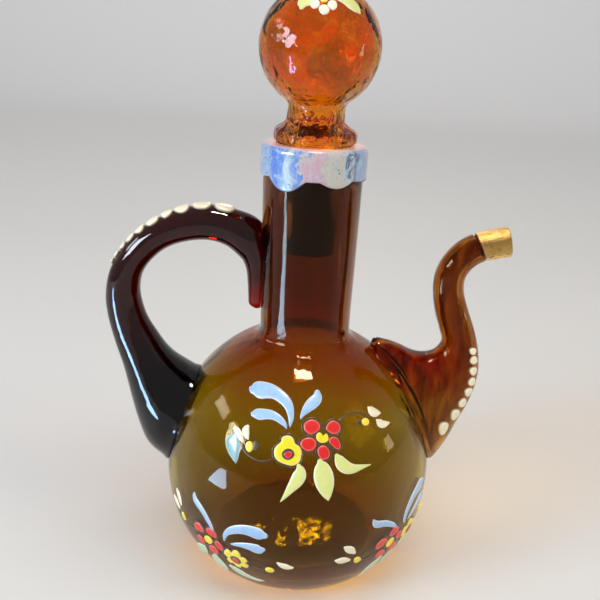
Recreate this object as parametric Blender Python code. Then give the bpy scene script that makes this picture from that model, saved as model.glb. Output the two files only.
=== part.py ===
"""A hand-blown amber glass cruet, in metres, +Z up, standing on its flat base.

The bulb and neck are one blown piece, hollow and open at the mouth. A hollow
swan-neck spout is fused over a pour hole on the +X side, a solid handle is
drawn from the bulb to the neck on the -X side, the rim wears a coat of enamel
that runs down in drips, raised enamel dots follow the handle and the spout,
the spout's lip is gilded, and a hollow blown stopper lifts out of the mouth.
"""

import math

import bmesh
import bpy
from mathutils import Matrix, Vector

# Bulb
BULB_RADIUS = 0.0400
BELLY_HEIGHT = 0.0300
SHOULDER_RISE = 0.0430
BASE_RADIUS = 0.0264
FOOT_ROUND = 0.0012
BULB_WALL = 0.0020
BASE_THICKNESS = 0.0048
SHOULDER_POWER = 2.0
FOOT_POWER = 2.13
FLOOR_POWER = 3.0

# Neck and mouth
NECK_LENGTH = 0.0522
NECK_RADIUS = 0.0130
NECK_TOP_RADIUS = 0.01375
NECK_WALL = 0.0022
NECK_FILLET = 0.0030
RIM_THICKNESS = 0.0038
RIM_ROUND = 0.0006
LIP_LENGTH = 0.0075

# The gap between fused or seated pieces
GAP = 0.0003

# Enamel coat on the rim
ENAMEL_THICKNESS = 0.0006
COAT_DEPTH = 0.0073
COAT_HOLE_SETBACK = 0.0004
COAT_EDGE_ROUND = 0.0012
DRIP_RUN = 0.0030
# Each drip: its bearing and half width in degrees, and its share of the run.
DRIP_SHARES = (
    (-163, 15, 0.12),
    (-121, 23, 1.00),
    (-64, 19, 0.50),
    (-25, 15, 0.12),
    (14, 24, 0.75),
    (58, 19, 0.33),
    (98, 26, 0.95),
    (146, 20, 0.52),
)

# Stopper
SEAT_OVERLAP = 0.0013
FLANGE_HEIGHT = 0.0064
FLANGE_ROLL = 0.0018
STEM_RADIUS = 0.0076
STEM_LENGTH = 0.0038
STEM_FILLET = 0.0014
BALL_RADIUS = 0.0159
STOPPER_WALL = 0.0016
PLUG_CLEARANCE = 0.0006
PLUG_LENGTH = 0.0300
PLUG_TIP_RADIUS = 0.0067
PLUG_END_ROUND = 0.0014

# Spout
SPOUT_REACH = 0.0171
SPOUT_DROP = 0.0192
SPOUT_TUBE_RADIUS = 0.0044
SPOUT_ROOT_HEIGHT = 0.0214
SPOUT_ROOT_WIDTH = 0.0130
SPOUT_WALL = 0.0012
POUR_HOLE_RADIUS = 0.0090
GILDING_LENGTH = 0.0082
GILDING_THICKNESS = 0.00035

# Handle
HANDLE_REACH = 0.0180
HANDLE_DROP = 0.0172
HANDLE_ROD_RADIUS = 0.0050
HANDLE_ROOT_HEIGHT = 0.0147
HANDLE_ROOT_WIDTH = 0.0137

# Raised enamel dots
DOT_HEIGHT = 0.0005
HANDLE_DOT_REACH = 0.0486
SPOUT_DOT_REACH = 0.0330

# How finely the round shapes are cut into faces
TURN_SEGMENTS = 48
STOPPER_SEGMENTS = 32
ROD_SEGMENTS = 16
COAT_SEGMENTS = 60
DOT_SEGMENTS = 10
BULB_STEPS = 8
FILLET_STEPS = 4
ROUND_STEPS = 3
BALL_STEPS = 12
GILDING_STEPS = 4
RINGS_PER_STATION = 2
PATH_SAMPLES = 240
SHARP_DEGREES = 40
PROBE_DEGREES = 2
PROBE_STATIONS = 0.05

# Stations of the spout from its buried root to its lip: how far out the
# section's centre lies as a share of the spout's reach past the bulb's side,
# its height as a share of the rise from the belly to the top of the lip, the
# tilt of the section in degrees, and its size share: 1 is the tube's radius
# and 2 the root's.
SPOUT_STATION_SHARES = (
    (-0.585, 0.243, -58, 1.74),
    (-0.538, 0.280, -60, 2.00),
    (-0.322, 0.316, -57, 1.86),
    (-0.108, 0.354, -50, 1.63),
    (0.085, 0.388, -38, 1.43),
    (0.24, 0.427, -26, 1.27),
    (0.325, 0.471, -16, 1.15),
    (0.342, 0.528, -6, 1.06),
    (0.254, 0.591, 2, 1.04),
    (0.129, 0.663, 8, 1.02),
    (0.044, 0.732, 7, 1.00),
    (0.032, 0.791, -1, 0.99),
    (0.103, 0.840, -16, 0.99),
    (0.240, 0.881, -34, 0.99),
    (0.395, 0.907, -54, 0.97),
    (0.550, 0.921, -70, 0.96),
    (0.936, 0.942, -78, 0.98),
)

# Stations of the handle from its buried root to the tip of its tail: how far
# the centre lies from the neck's side as a share of the handle's reach, its
# height as a share of the rise from the belly to the handle's top, the tilt
# in degrees, and its size share as on the spout.
HANDLE_STATION_SHARES = (
    (0.372, 0.128, -76, 1.98),
    (0.499, 0.163, -72, 2.00),
    (0.602, 0.209, -65, 1.92),
    (0.674, 0.271, -60, 1.68),
    (0.731, 0.341, -55, 1.44),
    (0.784, 0.424, -46, 1.23),
    (0.839, 0.503, -33, 1.10),
    (0.876, 0.580, -20, 1.04),
    (0.889, 0.657, -8, 1.00),
    (0.861, 0.736, 5, 0.93),
    (0.784, 0.807, 22, 0.88),
    (0.669, 0.869, 41, 0.87),
    (0.524, 0.911, 60, 0.93),
    (0.364, 0.931, 79, 1.00),
    (0.212, 0.919, 101, 1.03),
    (0.085, 0.880, 124, 1.08),
    (0.026, 0.807, 145, 0.88),
    (0.022, 0.731, 160, 0.66),
    (0.027, 0.668, 172, 0.52),
    (0.030, 0.634, 176, 0.44),
    (0.026, 0.617, 178, 0.20),
)

# How much of its width the spout loses along its top, at the root.
SPOUT_PINCH_SHARE = 0.45

# The profile of a dot, from its middle to its edge: shares of its radius and
# of its height.
DOT_PROFILE_SHARES = ((0, 1.0), (0.62, 0.84), (1.0, 0.34))

# Each dot of the handle's row, counted from the neck: its place and its
# radius as shares of the row's reach, and its bearing in degrees.
HANDLE_DOT_SHARES = (
    (0.216, 0.062, -3),
    (0.346, 0.057, -3),
    (0.461, 0.048, -9),
    (0.556, 0.040, -10),
    (0.650, 0.044, -11),
    (0.741, 0.037, -11),
    (0.817, 0.033, -9),
    (0.887, 0.029, -7),
    (0.949, 0.023, -5),
    (1.000, 0.019, -4),
)

# Each dot of the spout's row, counted from the bulb, in the same way.
SPOUT_DOT_SHARES = (
    (0.224, 0.065, -51),
    (0.391, 0.056, -46),
    (0.512, 0.046, -46),
    (0.621, 0.044, -46),
    (0.718, 0.042, -48),
    (0.815, 0.042, -52),
    (0.915, 0.041, -54),
    (1.000, 0.036, -57),
)

CROWN_HEIGHT = BELLY_HEIGHT + SHOULDER_RISE
RIM_HEIGHT = CROWN_HEIGHT + NECK_LENGTH
MOUTH_RADIUS = NECK_TOP_RADIUS - RIM_THICKNESS
COAT_TOP = RIM_HEIGHT + GAP + ENAMEL_THICKNESS
FLANGE_BOTTOM = COAT_TOP + GAP


def clear_scene():
    for obj in list(bpy.data.objects):
        bpy.data.objects.remove(obj, do_unlink=True)


def make_material(name, colour, roughness, metallic=0.0, transmission=0.0):
    material = bpy.data.materials.new(name)
    material.use_nodes = True
    material.diffuse_color = (*colour, 1.0)
    shader = material.node_tree.nodes["Principled BSDF"]
    shader.inputs["Base Color"].default_value = (*colour, 1.0)
    shader.inputs["Roughness"].default_value = roughness
    shader.inputs["Metallic"].default_value = metallic
    shader.inputs["Transmission Weight"].default_value = transmission
    return material


def mesh_object(name, points, faces, material):
    """One closed, outward facing, smooth shaded mesh."""
    mesh = bpy.data.meshes.new(name)
    mesh.from_pydata([tuple(point) for point in points], [], faces)
    shape = bmesh.new()
    shape.from_mesh(mesh)
    bmesh.ops.recalc_face_normals(shape, faces=shape.faces)
    shape.to_mesh(mesh)
    shape.free()
    mesh.shade_smooth()
    mesh.set_sharp_from_angle(angle=math.radians(SHARP_DEGREES))
    mesh.materials.append(material)
    obj = bpy.data.objects.new(name, mesh)
    bpy.context.scene.collection.objects.link(obj)
    return obj


def ring_faces(first, second, count):
    """Quads between two rings of points, each ring closed on itself."""
    faces = []
    for i in range(count):
        j = (i + 1) % count
        faces.append((first + i, first + j, second + j, second + i))
    return faces


def turned(name, profile, segments, material):
    """Turns a profile of (radius, height) about Z, from one point on the axis to another."""
    points, faces, starts = [], [], []
    for radius, height in profile:
        starts.append(len(points))
        if radius == 0:
            points.append(Vector((0, 0, height)))
            continue
        for i in range(segments):
            angle = math.tau * i / segments
            points.append(Vector((radius * math.cos(angle), radius * math.sin(angle), height)))
    for k in range(len(profile) - 1):
        a, b = starts[k], starts[k + 1]
        if profile[k][0] == 0 or profile[k + 1][0] == 0:
            pole, ring = (a, b) if profile[k][0] == 0 else (b, a)
            faces += [(pole, ring + i, ring + (i + 1) % segments) for i in range(segments)]
        else:
            faces += ring_faces(a, b, segments)
    return mesh_object(name, points, faces, material)


def lofted(name, rings, material, loop=False):
    """A skin over rings of equal count, capped at its ends or, as a loop, joined end to end."""
    count = len(rings[0])
    points = [point for ring in rings for point in ring]
    faces = []
    for k in range(len(rings) - 1):
        faces += ring_faces(k * count, (k + 1) * count, count)
    last = (len(rings) - 1) * count
    if loop:
        faces += ring_faces(last, 0, count)
    else:
        faces.append(tuple(range(count)))
        faces.append(tuple(range(last, last + count)))
    return mesh_object(name, points, faces, material)


def cut(obj, cutter, label):
    cutter.hide_render = True
    cutter.display_type = "WIRE"
    boolean = obj.modifiers.new(label, "BOOLEAN")
    boolean.operation = "DIFFERENCE"
    boolean.solver = "EXACT"
    boolean.object = cutter


def bezier(start, control, end, steps):
    """Points of a quadratic curve, both ends included."""
    points = []
    for i in range(steps + 1):
        t = i / steps
        points.append(
            tuple(
                (1 - t) ** 2 * a + 2 * t * (1 - t) * c + t**2 * b
                for a, c, b in zip(start, control, end)
            )
        )
    return points


def shoulder_height(radius, belly, rise):
    """Height of the shoulder curve of a given belly radius at a given radius."""
    share = min(radius / belly, 1)
    return BELLY_HEIGHT + rise * (1 - share**SHOULDER_POWER) ** (1 / SHOULDER_POWER)


def shoulder_curve(belly, rise, top_radius, steps):
    """Points of the shoulder from the belly up to top_radius."""
    end = math.acos((top_radius / belly) ** (SHOULDER_POWER / 2))
    points = []
    for i in range(steps + 1):
        angle = end * i / steps
        points.append(
            (
                belly * math.cos(angle) ** (2 / SHOULDER_POWER),
                BELLY_HEIGHT + rise * math.sin(angle) ** (2 / SHOULDER_POWER),
            )
        )
    return points


def neck_blend(tube, belly, rise, fillet, steps):
    """The curve that carries a shoulder over into a neck of radius tube."""
    start_radius = tube + fillet
    start = (start_radius, shoulder_height(start_radius, belly, rise))
    nudge = fillet / 10
    slope = (shoulder_height(start_radius - nudge, belly, rise) - start[1]) / nudge
    control = (tube, start[1] + slope * fillet)
    return bezier(start, control, (tube, control[1] + fillet), steps)


def bowl_curve(belly, depth, power, start_height, steps):
    """Points of the lower bulb from start_height up to the belly."""
    start = math.asin(min((BELLY_HEIGHT - start_height) / depth, 1) ** (power / 2))
    points = []
    for i in range(steps + 1):
        angle = start * (1 - i / steps)
        points.append(
            (
                belly * max(math.cos(angle), 0) ** (2 / power),
                BELLY_HEIGHT - depth * math.sin(angle) ** (2 / power),
            )
        )
    return points


def bottle_outside():
    """The outer profile, from the middle of the base to the rim's outer edge."""
    base_share = BASE_RADIUS / BULB_RADIUS
    depth = BELLY_HEIGHT / (1 - base_share**FOOT_POWER) ** (1 / FOOT_POWER)
    wall = bowl_curve(BULB_RADIUS, depth, FOOT_POWER, FOOT_ROUND, BULB_STEPS)
    foot = bezier((BASE_RADIUS - FOOT_ROUND, 0), (BASE_RADIUS, 0), wall[0], ROUND_STEPS)
    shoulder = shoulder_curve(
        BULB_RADIUS, SHOULDER_RISE, NECK_RADIUS + NECK_FILLET, BULB_STEPS
    )
    blend = neck_blend(NECK_RADIUS, BULB_RADIUS, SHOULDER_RISE, NECK_FILLET, FILLET_STEPS)
    neck_foot = blend[-1]
    neck_top = (NECK_TOP_RADIUS, RIM_HEIGHT - RIM_ROUND)
    neck = [tuple((a + b) / 2 for a, b in zip(neck_foot, neck_top)), neck_top]
    rim_corner = (NECK_TOP_RADIUS, RIM_HEIGHT)
    rim = bezier(
        neck_top, rim_corner, (NECK_TOP_RADIUS - RIM_ROUND, RIM_HEIGHT), ROUND_STEPS
    )
    return [(0, 0)] + foot[:-1] + wall[:-1] + shoulder[:-1] + blend + neck[:-1] + rim


def bottle_inside():
    """The inner profile, from the rim's inner edge down to the middle of the floor."""
    belly = BULB_RADIUS - BULB_WALL
    rise = SHOULDER_RISE - BULB_WALL
    bore = NECK_RADIUS - NECK_WALL
    top_bore = NECK_TOP_RADIUS - NECK_WALL
    blend = neck_blend(bore, belly, rise, NECK_FILLET, FILLET_STEPS)
    shoulder = shoulder_curve(belly, rise, bore + NECK_FILLET, BULB_STEPS)
    depth = BELLY_HEIGHT - BASE_THICKNESS
    bowl = bowl_curve(belly, depth, FLOOR_POWER, BASE_THICKNESS, BULB_STEPS)
    rim = bezier(
        (MOUTH_RADIUS + RIM_ROUND, RIM_HEIGHT),
        (MOUTH_RADIUS, RIM_HEIGHT),
        (MOUTH_RADIUS, RIM_HEIGHT - RIM_ROUND),
        ROUND_STEPS,
    )
    lip = [
        (MOUTH_RADIUS, RIM_HEIGHT - LIP_LENGTH),
        (top_bore, RIM_HEIGHT - LIP_LENGTH - 2 * (top_bore - MOUTH_RADIUS)),
    ]
    bowl[0] = (0, BASE_THICKNESS)
    return rim + lip + blend[::-1] + shoulder[-2::-1] + bowl[-2::-1]


def swollen(profile, distance):
    """The profile pushed outward by distance."""
    points = []
    for i, (radius, height) in enumerate(profile):
        before = profile[max(i - 1, 0)]
        after = profile[min(i + 1, len(profile) - 1)]
        along = Vector((after[0] - before[0], after[1] - before[1])).normalized()
        points.append((radius + along.y * distance, height - along.x * distance))
    points[0] = (0, -distance)
    points.append((0, points[-1][1]))
    return points


def outside_radius(height):
    """The bottle's outer radius at a height."""
    profile = bottle_outside()[1:]
    for (r0, z0), (r1, z1) in zip(profile, profile[1:]):
        if z0 <= height <= z1 and z1 > z0:
            return r0 + (r1 - r0) * (height - z0) / (z1 - z0)
    return 0.0


class Limb:
    """A tapering limb in the XZ plane, swept through hand-set stations."""

    def __init__(self, stations, side, tube, root_height, root_width, pinch=0.0):
        self.pinch = pinch
        self.stations = stations
        self.side = side
        self.tube = tube
        self.root_height = root_height
        self.root_width = root_width

    def station(self, t):
        """The station at t, counted in stations, on a smooth curve through them all."""
        last = len(self.stations) - 1
        i = min(int(t), last - 1)
        f = t - i
        p = [self.stations[min(max(i + k, 0), last)] for k in (-1, 0, 1, 2)]
        return [
            b
            + f * ((c - a) / 2 + f * (a - b * 5 / 2 + 2 * c - d / 2 + f * (3 * (b - c) + d - a) / 2))
            for a, b, c, d in zip(*p)
        ]

    def size(self, share, root):
        return self.tube * min(share, 1) + (root - self.tube) * max(share - 1, 0)

    def point(self, t, angle, inset=0.0):
        """The surface at t and at an angle round the section, 0 on the outer side."""
        x, z, tilt, share = self.station(t)
        outward = Vector((self.side * math.cos(tilt), 0, math.sin(tilt)))
        tall = self.size(share, self.root_height) - inset
        wide = self.size(share, self.root_width) - inset
        wide *= 1 - self.pinch * max(share - 1, 0) * (1 - math.cos(angle)) / 2
        centre = Vector((self.side * x, 0, z))
        return centre + outward * tall * math.cos(angle) + Vector((0, wide, 0)) * math.sin(angle)

    def normal(self, t, angle):
        step = math.radians(PROBE_DEGREES)
        around = self.point(t, angle + step) - self.point(t, angle - step)
        ahead = min(t + PROBE_STATIONS, len(self.stations) - 1)
        behind = max(t - PROBE_STATIONS, 0)
        along = self.point(ahead, angle) - self.point(behind, angle)
        normal = along.cross(around).normalized()
        centre = (self.point(t, 0) + self.point(t, math.pi)) / 2
        return normal if normal.dot(self.point(t, angle) - centre) > 0 else -normal

    def ring(self, t, count, inset=0.0):
        return [self.point(t, math.tau * i / count, inset) for i in range(count)]

    def rings(self, start, end, steps, count, inset=0.0):
        return [
            self.ring(start + (end - start) * i / steps, count, inset) for i in range(steps + 1)
        ]

    def from_end(self, distance):
        """The t that lies a distance back from the end, measured along the middle."""
        t, left = float(len(self.stations) - 1), distance
        step = t / PATH_SAMPLES
        while t > step:
            a, b = self.station(t), self.station(t - step)
            walked = math.hypot(a[0] - b[0], a[1] - b[1])
            if walked >= left:
                return t - step * left / walked
            left -= walked
            t -= step
        return t


def spout_limb():
    """The spout's stations in metres and radians."""
    rise = RIM_HEIGHT - SPOUT_DROP - BELLY_HEIGHT
    stations = [
        (BULB_RADIUS + out * SPOUT_REACH, BELLY_HEIGHT + up * rise, math.radians(tilt), share)
        for out, up, tilt, share in SPOUT_STATION_SHARES
    ]
    return Limb(
        stations, 1, SPOUT_TUBE_RADIUS, SPOUT_ROOT_HEIGHT, SPOUT_ROOT_WIDTH, SPOUT_PINCH_SHARE
    )


def handle_limb():
    """The handle's stations in metres and radians."""
    rise = RIM_HEIGHT - HANDLE_DROP - BELLY_HEIGHT
    span = BULB_RADIUS + HANDLE_REACH - NECK_RADIUS
    stations = [
        (NECK_RADIUS + out * span, BELLY_HEIGHT + up * rise, math.radians(tilt), share)
        for out, up, tilt, share in HANDLE_STATION_SHARES
    ]
    return Limb(stations, -1, HANDLE_ROD_RADIUS, HANDLE_ROOT_HEIGHT, HANDLE_ROOT_WIDTH)


def make_bottle(glass, spout):
    """The blown bulb and neck, with the pour hole that opens into the spout."""
    bottle = turned("bottle", bottle_outside() + bottle_inside(), TURN_SEGMENTS, glass)
    root, mouth = spout.station(1), spout.station(2)
    start = Vector((root[0], 0, root[1]))
    toward = Vector((mouth[0] - root[0], 0, mouth[1] - root[1])).normalized()
    shape = bmesh.new()
    bmesh.ops.create_cone(
        shape,
        cap_ends=True,
        segments=TURN_SEGMENTS // 2,
        radius1=POUR_HOLE_RADIUS,
        radius2=POUR_HOLE_RADIUS,
        depth=SPOUT_ROOT_HEIGHT,
        matrix=Matrix.Translation(start) @ toward.to_track_quat("Z", "Y").to_matrix().to_4x4(),
    )
    mesh = bpy.data.meshes.new("pour_hole_cutter")
    shape.to_mesh(mesh)
    shape.free()
    cutter = bpy.data.objects.new("pour_hole_cutter", mesh)
    bpy.context.scene.collection.objects.link(cutter)
    cut(bottle, cutter, "pour hole")
    return bottle


def make_spout(glass, limb, bottle_cutter):
    """The hollow spout, its root trimmed to lie on the bulb."""
    seat = GILDING_THICKNESS + GAP
    lip = limb.from_end(seat)
    step_top = limb.from_end(GILDING_LENGTH + GAP)
    step_foot = limb.from_end(GILDING_LENGTH + 2 * GAP)
    steps = RINGS_PER_STATION * (len(limb.stations) - 2)
    outer = limb.rings(0, step_foot, steps, ROD_SEGMENTS)
    outer += limb.rings(step_top, lip, GILDING_STEPS, ROD_SEGMENTS, seat)
    inner = limb.rings(lip, 0, steps, ROD_SEGMENTS, seat + SPOUT_WALL)
    spout = lofted("spout", outer + inner, glass, loop=True)
    cut(spout, bottle_cutter, "lie on the bulb")
    return spout


def make_gilding(gold, limb):
    """The gilded sleeve over the spout's lip."""
    end = len(limb.stations) - 1
    sleeve = limb.from_end(GILDING_LENGTH)
    lip = limb.from_end(GILDING_THICKNESS)
    bore = GILDING_THICKNESS + GAP + SPOUT_WALL
    rings = limb.rings(sleeve, end, GILDING_STEPS, ROD_SEGMENTS)
    rings.append(limb.ring(end, ROD_SEGMENTS, bore))
    rings.append(limb.ring(lip, ROD_SEGMENTS, bore))
    rings += limb.rings(lip, sleeve, GILDING_STEPS, ROD_SEGMENTS, GILDING_THICKNESS)
    return lofted("spout_gilding", rings, gold, loop=True)


def make_handle(glass, limb, bottle_cutter):
    """The solid drawn handle, trimmed to lie on the bulb and the neck."""
    end = len(limb.stations) - 1
    rings = limb.rings(0, end, RINGS_PER_STATION * end, ROD_SEGMENTS)
    handle = lofted("handle", rings, glass)
    cut(handle, bottle_cutter, "lie on the bulb and neck")
    return handle


def coat_edge(bearing):
    """How far down the enamel coat reaches at a bearing in degrees."""
    depth = COAT_DEPTH
    for middle, half_width, share in DRIP_SHARES:
        away = abs((bearing - middle + 180) % 360 - 180) / half_width
        if away < 1:
            depth += DRIP_RUN * share * (math.cos(math.pi * away) + 1) / 2
    return RIM_HEIGHT - depth


def make_rim_coat(enamel):
    """The enamel that caps the rim and runs down the neck in drips."""
    inner = NECK_TOP_RADIUS + GAP
    outer = inner + ENAMEL_THICKNESS
    hole = MOUTH_RADIUS + COAT_HOLE_SETBACK
    under = COAT_TOP - ENAMEL_THICKNESS
    points, faces = [], []
    for i in range(COAT_SEGMENTS):
        angle = math.tau * i / COAT_SEGMENTS
        edge = coat_edge(math.degrees(angle))
        section = [(inner, edge + ENAMEL_THICKNESS / 2), (inner + ENAMEL_THICKNESS / 3, edge)]
        section += bezier(
            (outer - ENAMEL_THICKNESS / 5, edge + ENAMEL_THICKNESS / 3),
            (outer, edge + ENAMEL_THICKNESS),
            (outer, edge + COAT_EDGE_ROUND + ENAMEL_THICKNESS),
            ROUND_STEPS - 1,
        )
        section += bezier(
            (outer, COAT_TOP - COAT_EDGE_ROUND),
            (outer, COAT_TOP),
            (outer - COAT_EDGE_ROUND, COAT_TOP),
            ROUND_STEPS,
        )
        section += [(hole, COAT_TOP), (hole, under), (inner, under)]
        for radius, height in section:
            points.append((radius * math.cos(angle), radius * math.sin(angle), height))
    count = len(section)
    for i in range(COAT_SEGMENTS):
        faces += ring_faces(i * count, (i + 1) % COAT_SEGMENTS * count, count)
    return mesh_object("rim_enamel", points, faces, enamel)


def stopper_profile():
    """The stopper's outside from the ball's crown to the plug's open end, then its inside back up."""
    flange_radius = MOUTH_RADIUS + SEAT_OVERLAP
    skirt_top = FLANGE_BOTTOM + FLANGE_HEIGHT
    stem_top = skirt_top + STEM_LENGTH
    ball_middle = stem_top + math.sqrt(BALL_RADIUS**2 - STEM_RADIUS**2)
    plug_end = FLANGE_BOTTOM - PLUG_LENGTH
    plug_root = MOUTH_RADIUS - PLUG_CLEARANCE
    blend_radius = STEM_RADIUS + STEM_FILLET
    blend_angle = math.asin(blend_radius / BALL_RADIUS)
    outside = [(0, ball_middle + BALL_RADIUS)]
    for i in range(1, BALL_STEPS + 1):
        angle = (math.pi - blend_angle) * i / BALL_STEPS
        outside.append(
            (BALL_RADIUS * math.sin(angle), ball_middle + BALL_RADIUS * math.cos(angle))
        )
    stem_fillet_end = (STEM_RADIUS, stem_top - STEM_FILLET)
    outside += bezier(outside[-1], (STEM_RADIUS, stem_top), stem_fillet_end, ROUND_STEPS)[1:]
    roll_top = FLANGE_BOTTOM + 2 * FLANGE_ROLL
    outside += bezier(
        (STEM_RADIUS, skirt_top),
        (STEM_RADIUS, (skirt_top + roll_top) / 2),
        (flange_radius - FLANGE_ROLL / 2, roll_top),
        FILLET_STEPS,
    )
    outside += bezier(
        (flange_radius, FLANGE_BOTTOM + FLANGE_ROLL * 4 / 3),
        (flange_radius, FLANGE_BOTTOM),
        (flange_radius - FLANGE_ROLL / 3, FLANGE_BOTTOM),
        ROUND_STEPS,
    )
    outside += [(plug_root, FLANGE_BOTTOM)]
    outside += bezier(
        (PLUG_TIP_RADIUS, plug_end + PLUG_END_ROUND),
        (PLUG_TIP_RADIUS, plug_end),
        (PLUG_TIP_RADIUS - STOPPER_WALL / 2, plug_end),
        ROUND_STEPS,
    )
    inside = [
        (PLUG_TIP_RADIUS - STOPPER_WALL, plug_end + STOPPER_WALL / 2),
        (plug_root - STOPPER_WALL, FLANGE_BOTTOM - STOPPER_WALL),
        (STEM_RADIUS - STOPPER_WALL, skirt_top - STOPPER_WALL),
        (STEM_RADIUS - STOPPER_WALL, stem_top - STEM_FILLET),
    ]
    room = BALL_RADIUS - STOPPER_WALL
    start = math.pi - math.asin((STEM_RADIUS - STOPPER_WALL / 2) / room)
    for i in range(BULB_STEPS):
        angle = start * (1 - i / BULB_STEPS)
        inside.append((room * math.sin(angle), ball_middle + room * math.cos(angle)))
    inside.append((0, ball_middle + room))
    return outside + inside


def make_stopper(glass):
    return turned("stopper", stopper_profile(), STOPPER_SEGMENTS, glass)


def dot_path(limb, bearing, from_tail):
    """(t, distance) samples along the free part of a limb, counted from one of its ends."""
    end = len(limb.stations) - 1
    run, longest = [], []
    for i in range(PATH_SAMPLES + 1):
        t = end * i / PATH_SAMPLES
        point = limb.point(t, bearing)
        if math.hypot(point.x, point.y) > outside_radius(point.z) + GAP:
            run.append((t, point))
            longest = max(longest, run, key=len)
        else:
            run = []
    if from_tail:
        longest = longest[::-1]
    samples, walked = [], 0.0
    for i, (t, point) in enumerate(longest):
        walked += (point - longest[max(i - 1, 0)][1]).length
        samples.append((t, walked))
    return samples


def t_at(samples, distance):
    for (t0, d0), (t1, d1) in zip(samples, samples[1:]):
        if d0 <= distance <= d1 and d1 > d0:
            return t0 + (t1 - t0) * (distance - d0) / (d1 - d0)
    return samples[-1][0]


def make_dot(name, enamel, limb, samples, place, bearing, radius):
    """A low round dot of enamel that follows the glass beneath it."""
    middle = t_at(samples, place)
    step = math.radians(PROBE_DEGREES)
    girth = (limb.point(middle, bearing) - limb.point(middle, bearing + step)).length / step

    def place_ring(share, lift):
        count = DOT_SEGMENTS if share else 1
        ring = []
        for i in range(count):
            angle = math.tau * i / count
            t = t_at(samples, place + radius * share * math.cos(angle))
            turn = bearing + radius * share * math.sin(angle) / girth
            ring.append(limb.point(t, turn) + limb.normal(t, turn) * lift)
        return ring

    top = [place_ring(share, GAP + DOT_HEIGHT * lift) for share, lift in DOT_PROFILE_SHARES]
    bottom = [place_ring(share, GAP) for share, _ in DOT_PROFILE_SHARES[::-1]]
    points, faces, starts = [], [], []
    for ring in top + bottom:
        starts.append(len(points))
        points += ring
    for k in range(len(starts) - 1):
        a, b = starts[k], starts[k + 1]
        if k == 0 or k == len(starts) - 2:
            pole, ring = (a, b) if k == 0 else (b, a)
            faces += [
                (pole, ring + i, ring + (i + 1) % DOT_SEGMENTS) for i in range(DOT_SEGMENTS)
            ]
        else:
            faces += ring_faces(a, b, DOT_SEGMENTS)
    return mesh_object(name, points, faces, enamel)


def make_dots(prefix, enamel, limb, from_tail, reach, shares):
    """A row of dots along a limb."""
    middle_bearing = sum(row[2] for row in shares) / len(shares)
    samples = dot_path(limb, math.radians(middle_bearing), from_tail)
    for i, (place, radius, bearing) in enumerate(shares):
        make_dot(
            f"{prefix}_{i + 1:02d}",
            enamel,
            limb,
            samples,
            place * reach,
            math.radians(bearing),
            radius * reach,
        )


def main():
    clear_scene()
    amber = make_material("amber glass", (0.30, 0.15, 0.01), 0.04, transmission=0.6)
    dark_amber = make_material("dark amber glass", (0.09, 0.015, 0.005), 0.04, transmission=0.3)
    honey = make_material("honey glass", (0.62, 0.22, 0.01), 0.05, transmission=0.6)
    brown = make_material("brown amber glass", (0.20, 0.06, 0.01), 0.04, transmission=0.5)
    marbled = make_material("marbled enamel", (0.66, 0.71, 0.84), 0.30)
    cream = make_material("cream enamel", (0.88, 0.84, 0.68), 0.35)
    gold = make_material("gilding", (0.83, 0.58, 0.16), 0.28, metallic=1.0)

    spout_path, handle_path = spout_limb(), handle_limb()
    cutter = turned("bottle_cutter", swollen(bottle_outside(), GAP), TURN_SEGMENTS, amber)
    make_bottle(amber, spout_path)
    make_spout(brown, spout_path, cutter)
    make_gilding(gold, spout_path)
    make_handle(dark_amber, handle_path, cutter)
    make_rim_coat(marbled)
    make_stopper(honey)
    make_dots("handle_dot", cream, handle_path, True, HANDLE_DOT_REACH, HANDLE_DOT_SHARES)
    make_dots("spout_dot", cream, spout_path, False, SPOUT_DOT_REACH, SPOUT_DOT_SHARES)


main()
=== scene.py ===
"""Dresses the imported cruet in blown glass, fired enamel and gold, and sets its studio.

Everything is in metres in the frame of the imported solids: +Z up, the spout on
+X, the handle on -X and the painted front on -Y.
"""

import math

import bmesh
import bpy
from bpy.props import FloatProperty, FloatVectorProperty, IntProperty, PointerProperty
from mathutils import Matrix, Vector, noise


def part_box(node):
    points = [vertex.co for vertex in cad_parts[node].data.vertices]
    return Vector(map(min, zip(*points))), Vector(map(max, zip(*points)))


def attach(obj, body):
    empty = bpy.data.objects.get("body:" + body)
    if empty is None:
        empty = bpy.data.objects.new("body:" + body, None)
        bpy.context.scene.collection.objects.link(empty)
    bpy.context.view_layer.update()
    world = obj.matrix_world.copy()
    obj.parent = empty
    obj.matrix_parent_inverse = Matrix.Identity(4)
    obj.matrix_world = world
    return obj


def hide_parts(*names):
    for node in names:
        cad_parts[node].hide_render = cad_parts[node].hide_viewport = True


bl_info = {
    "name": "Amber Cruet",
    "version": (1, 0, 0),
    "blender": (4, 5, 0),
    "location": "3D View > Sidebar > Cruet",
    "description": "Blown glass, enamel and gilding for a cruet with a spout and a stopper",
    "category": "Add Mesh",
}

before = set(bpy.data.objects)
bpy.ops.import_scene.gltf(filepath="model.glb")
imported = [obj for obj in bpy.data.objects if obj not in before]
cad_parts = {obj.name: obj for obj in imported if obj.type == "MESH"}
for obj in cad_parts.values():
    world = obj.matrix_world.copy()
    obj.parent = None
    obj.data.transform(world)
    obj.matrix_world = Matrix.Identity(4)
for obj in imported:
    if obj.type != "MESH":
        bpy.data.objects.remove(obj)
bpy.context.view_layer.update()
BOTTLE_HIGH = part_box("bottle")[1]

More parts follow.
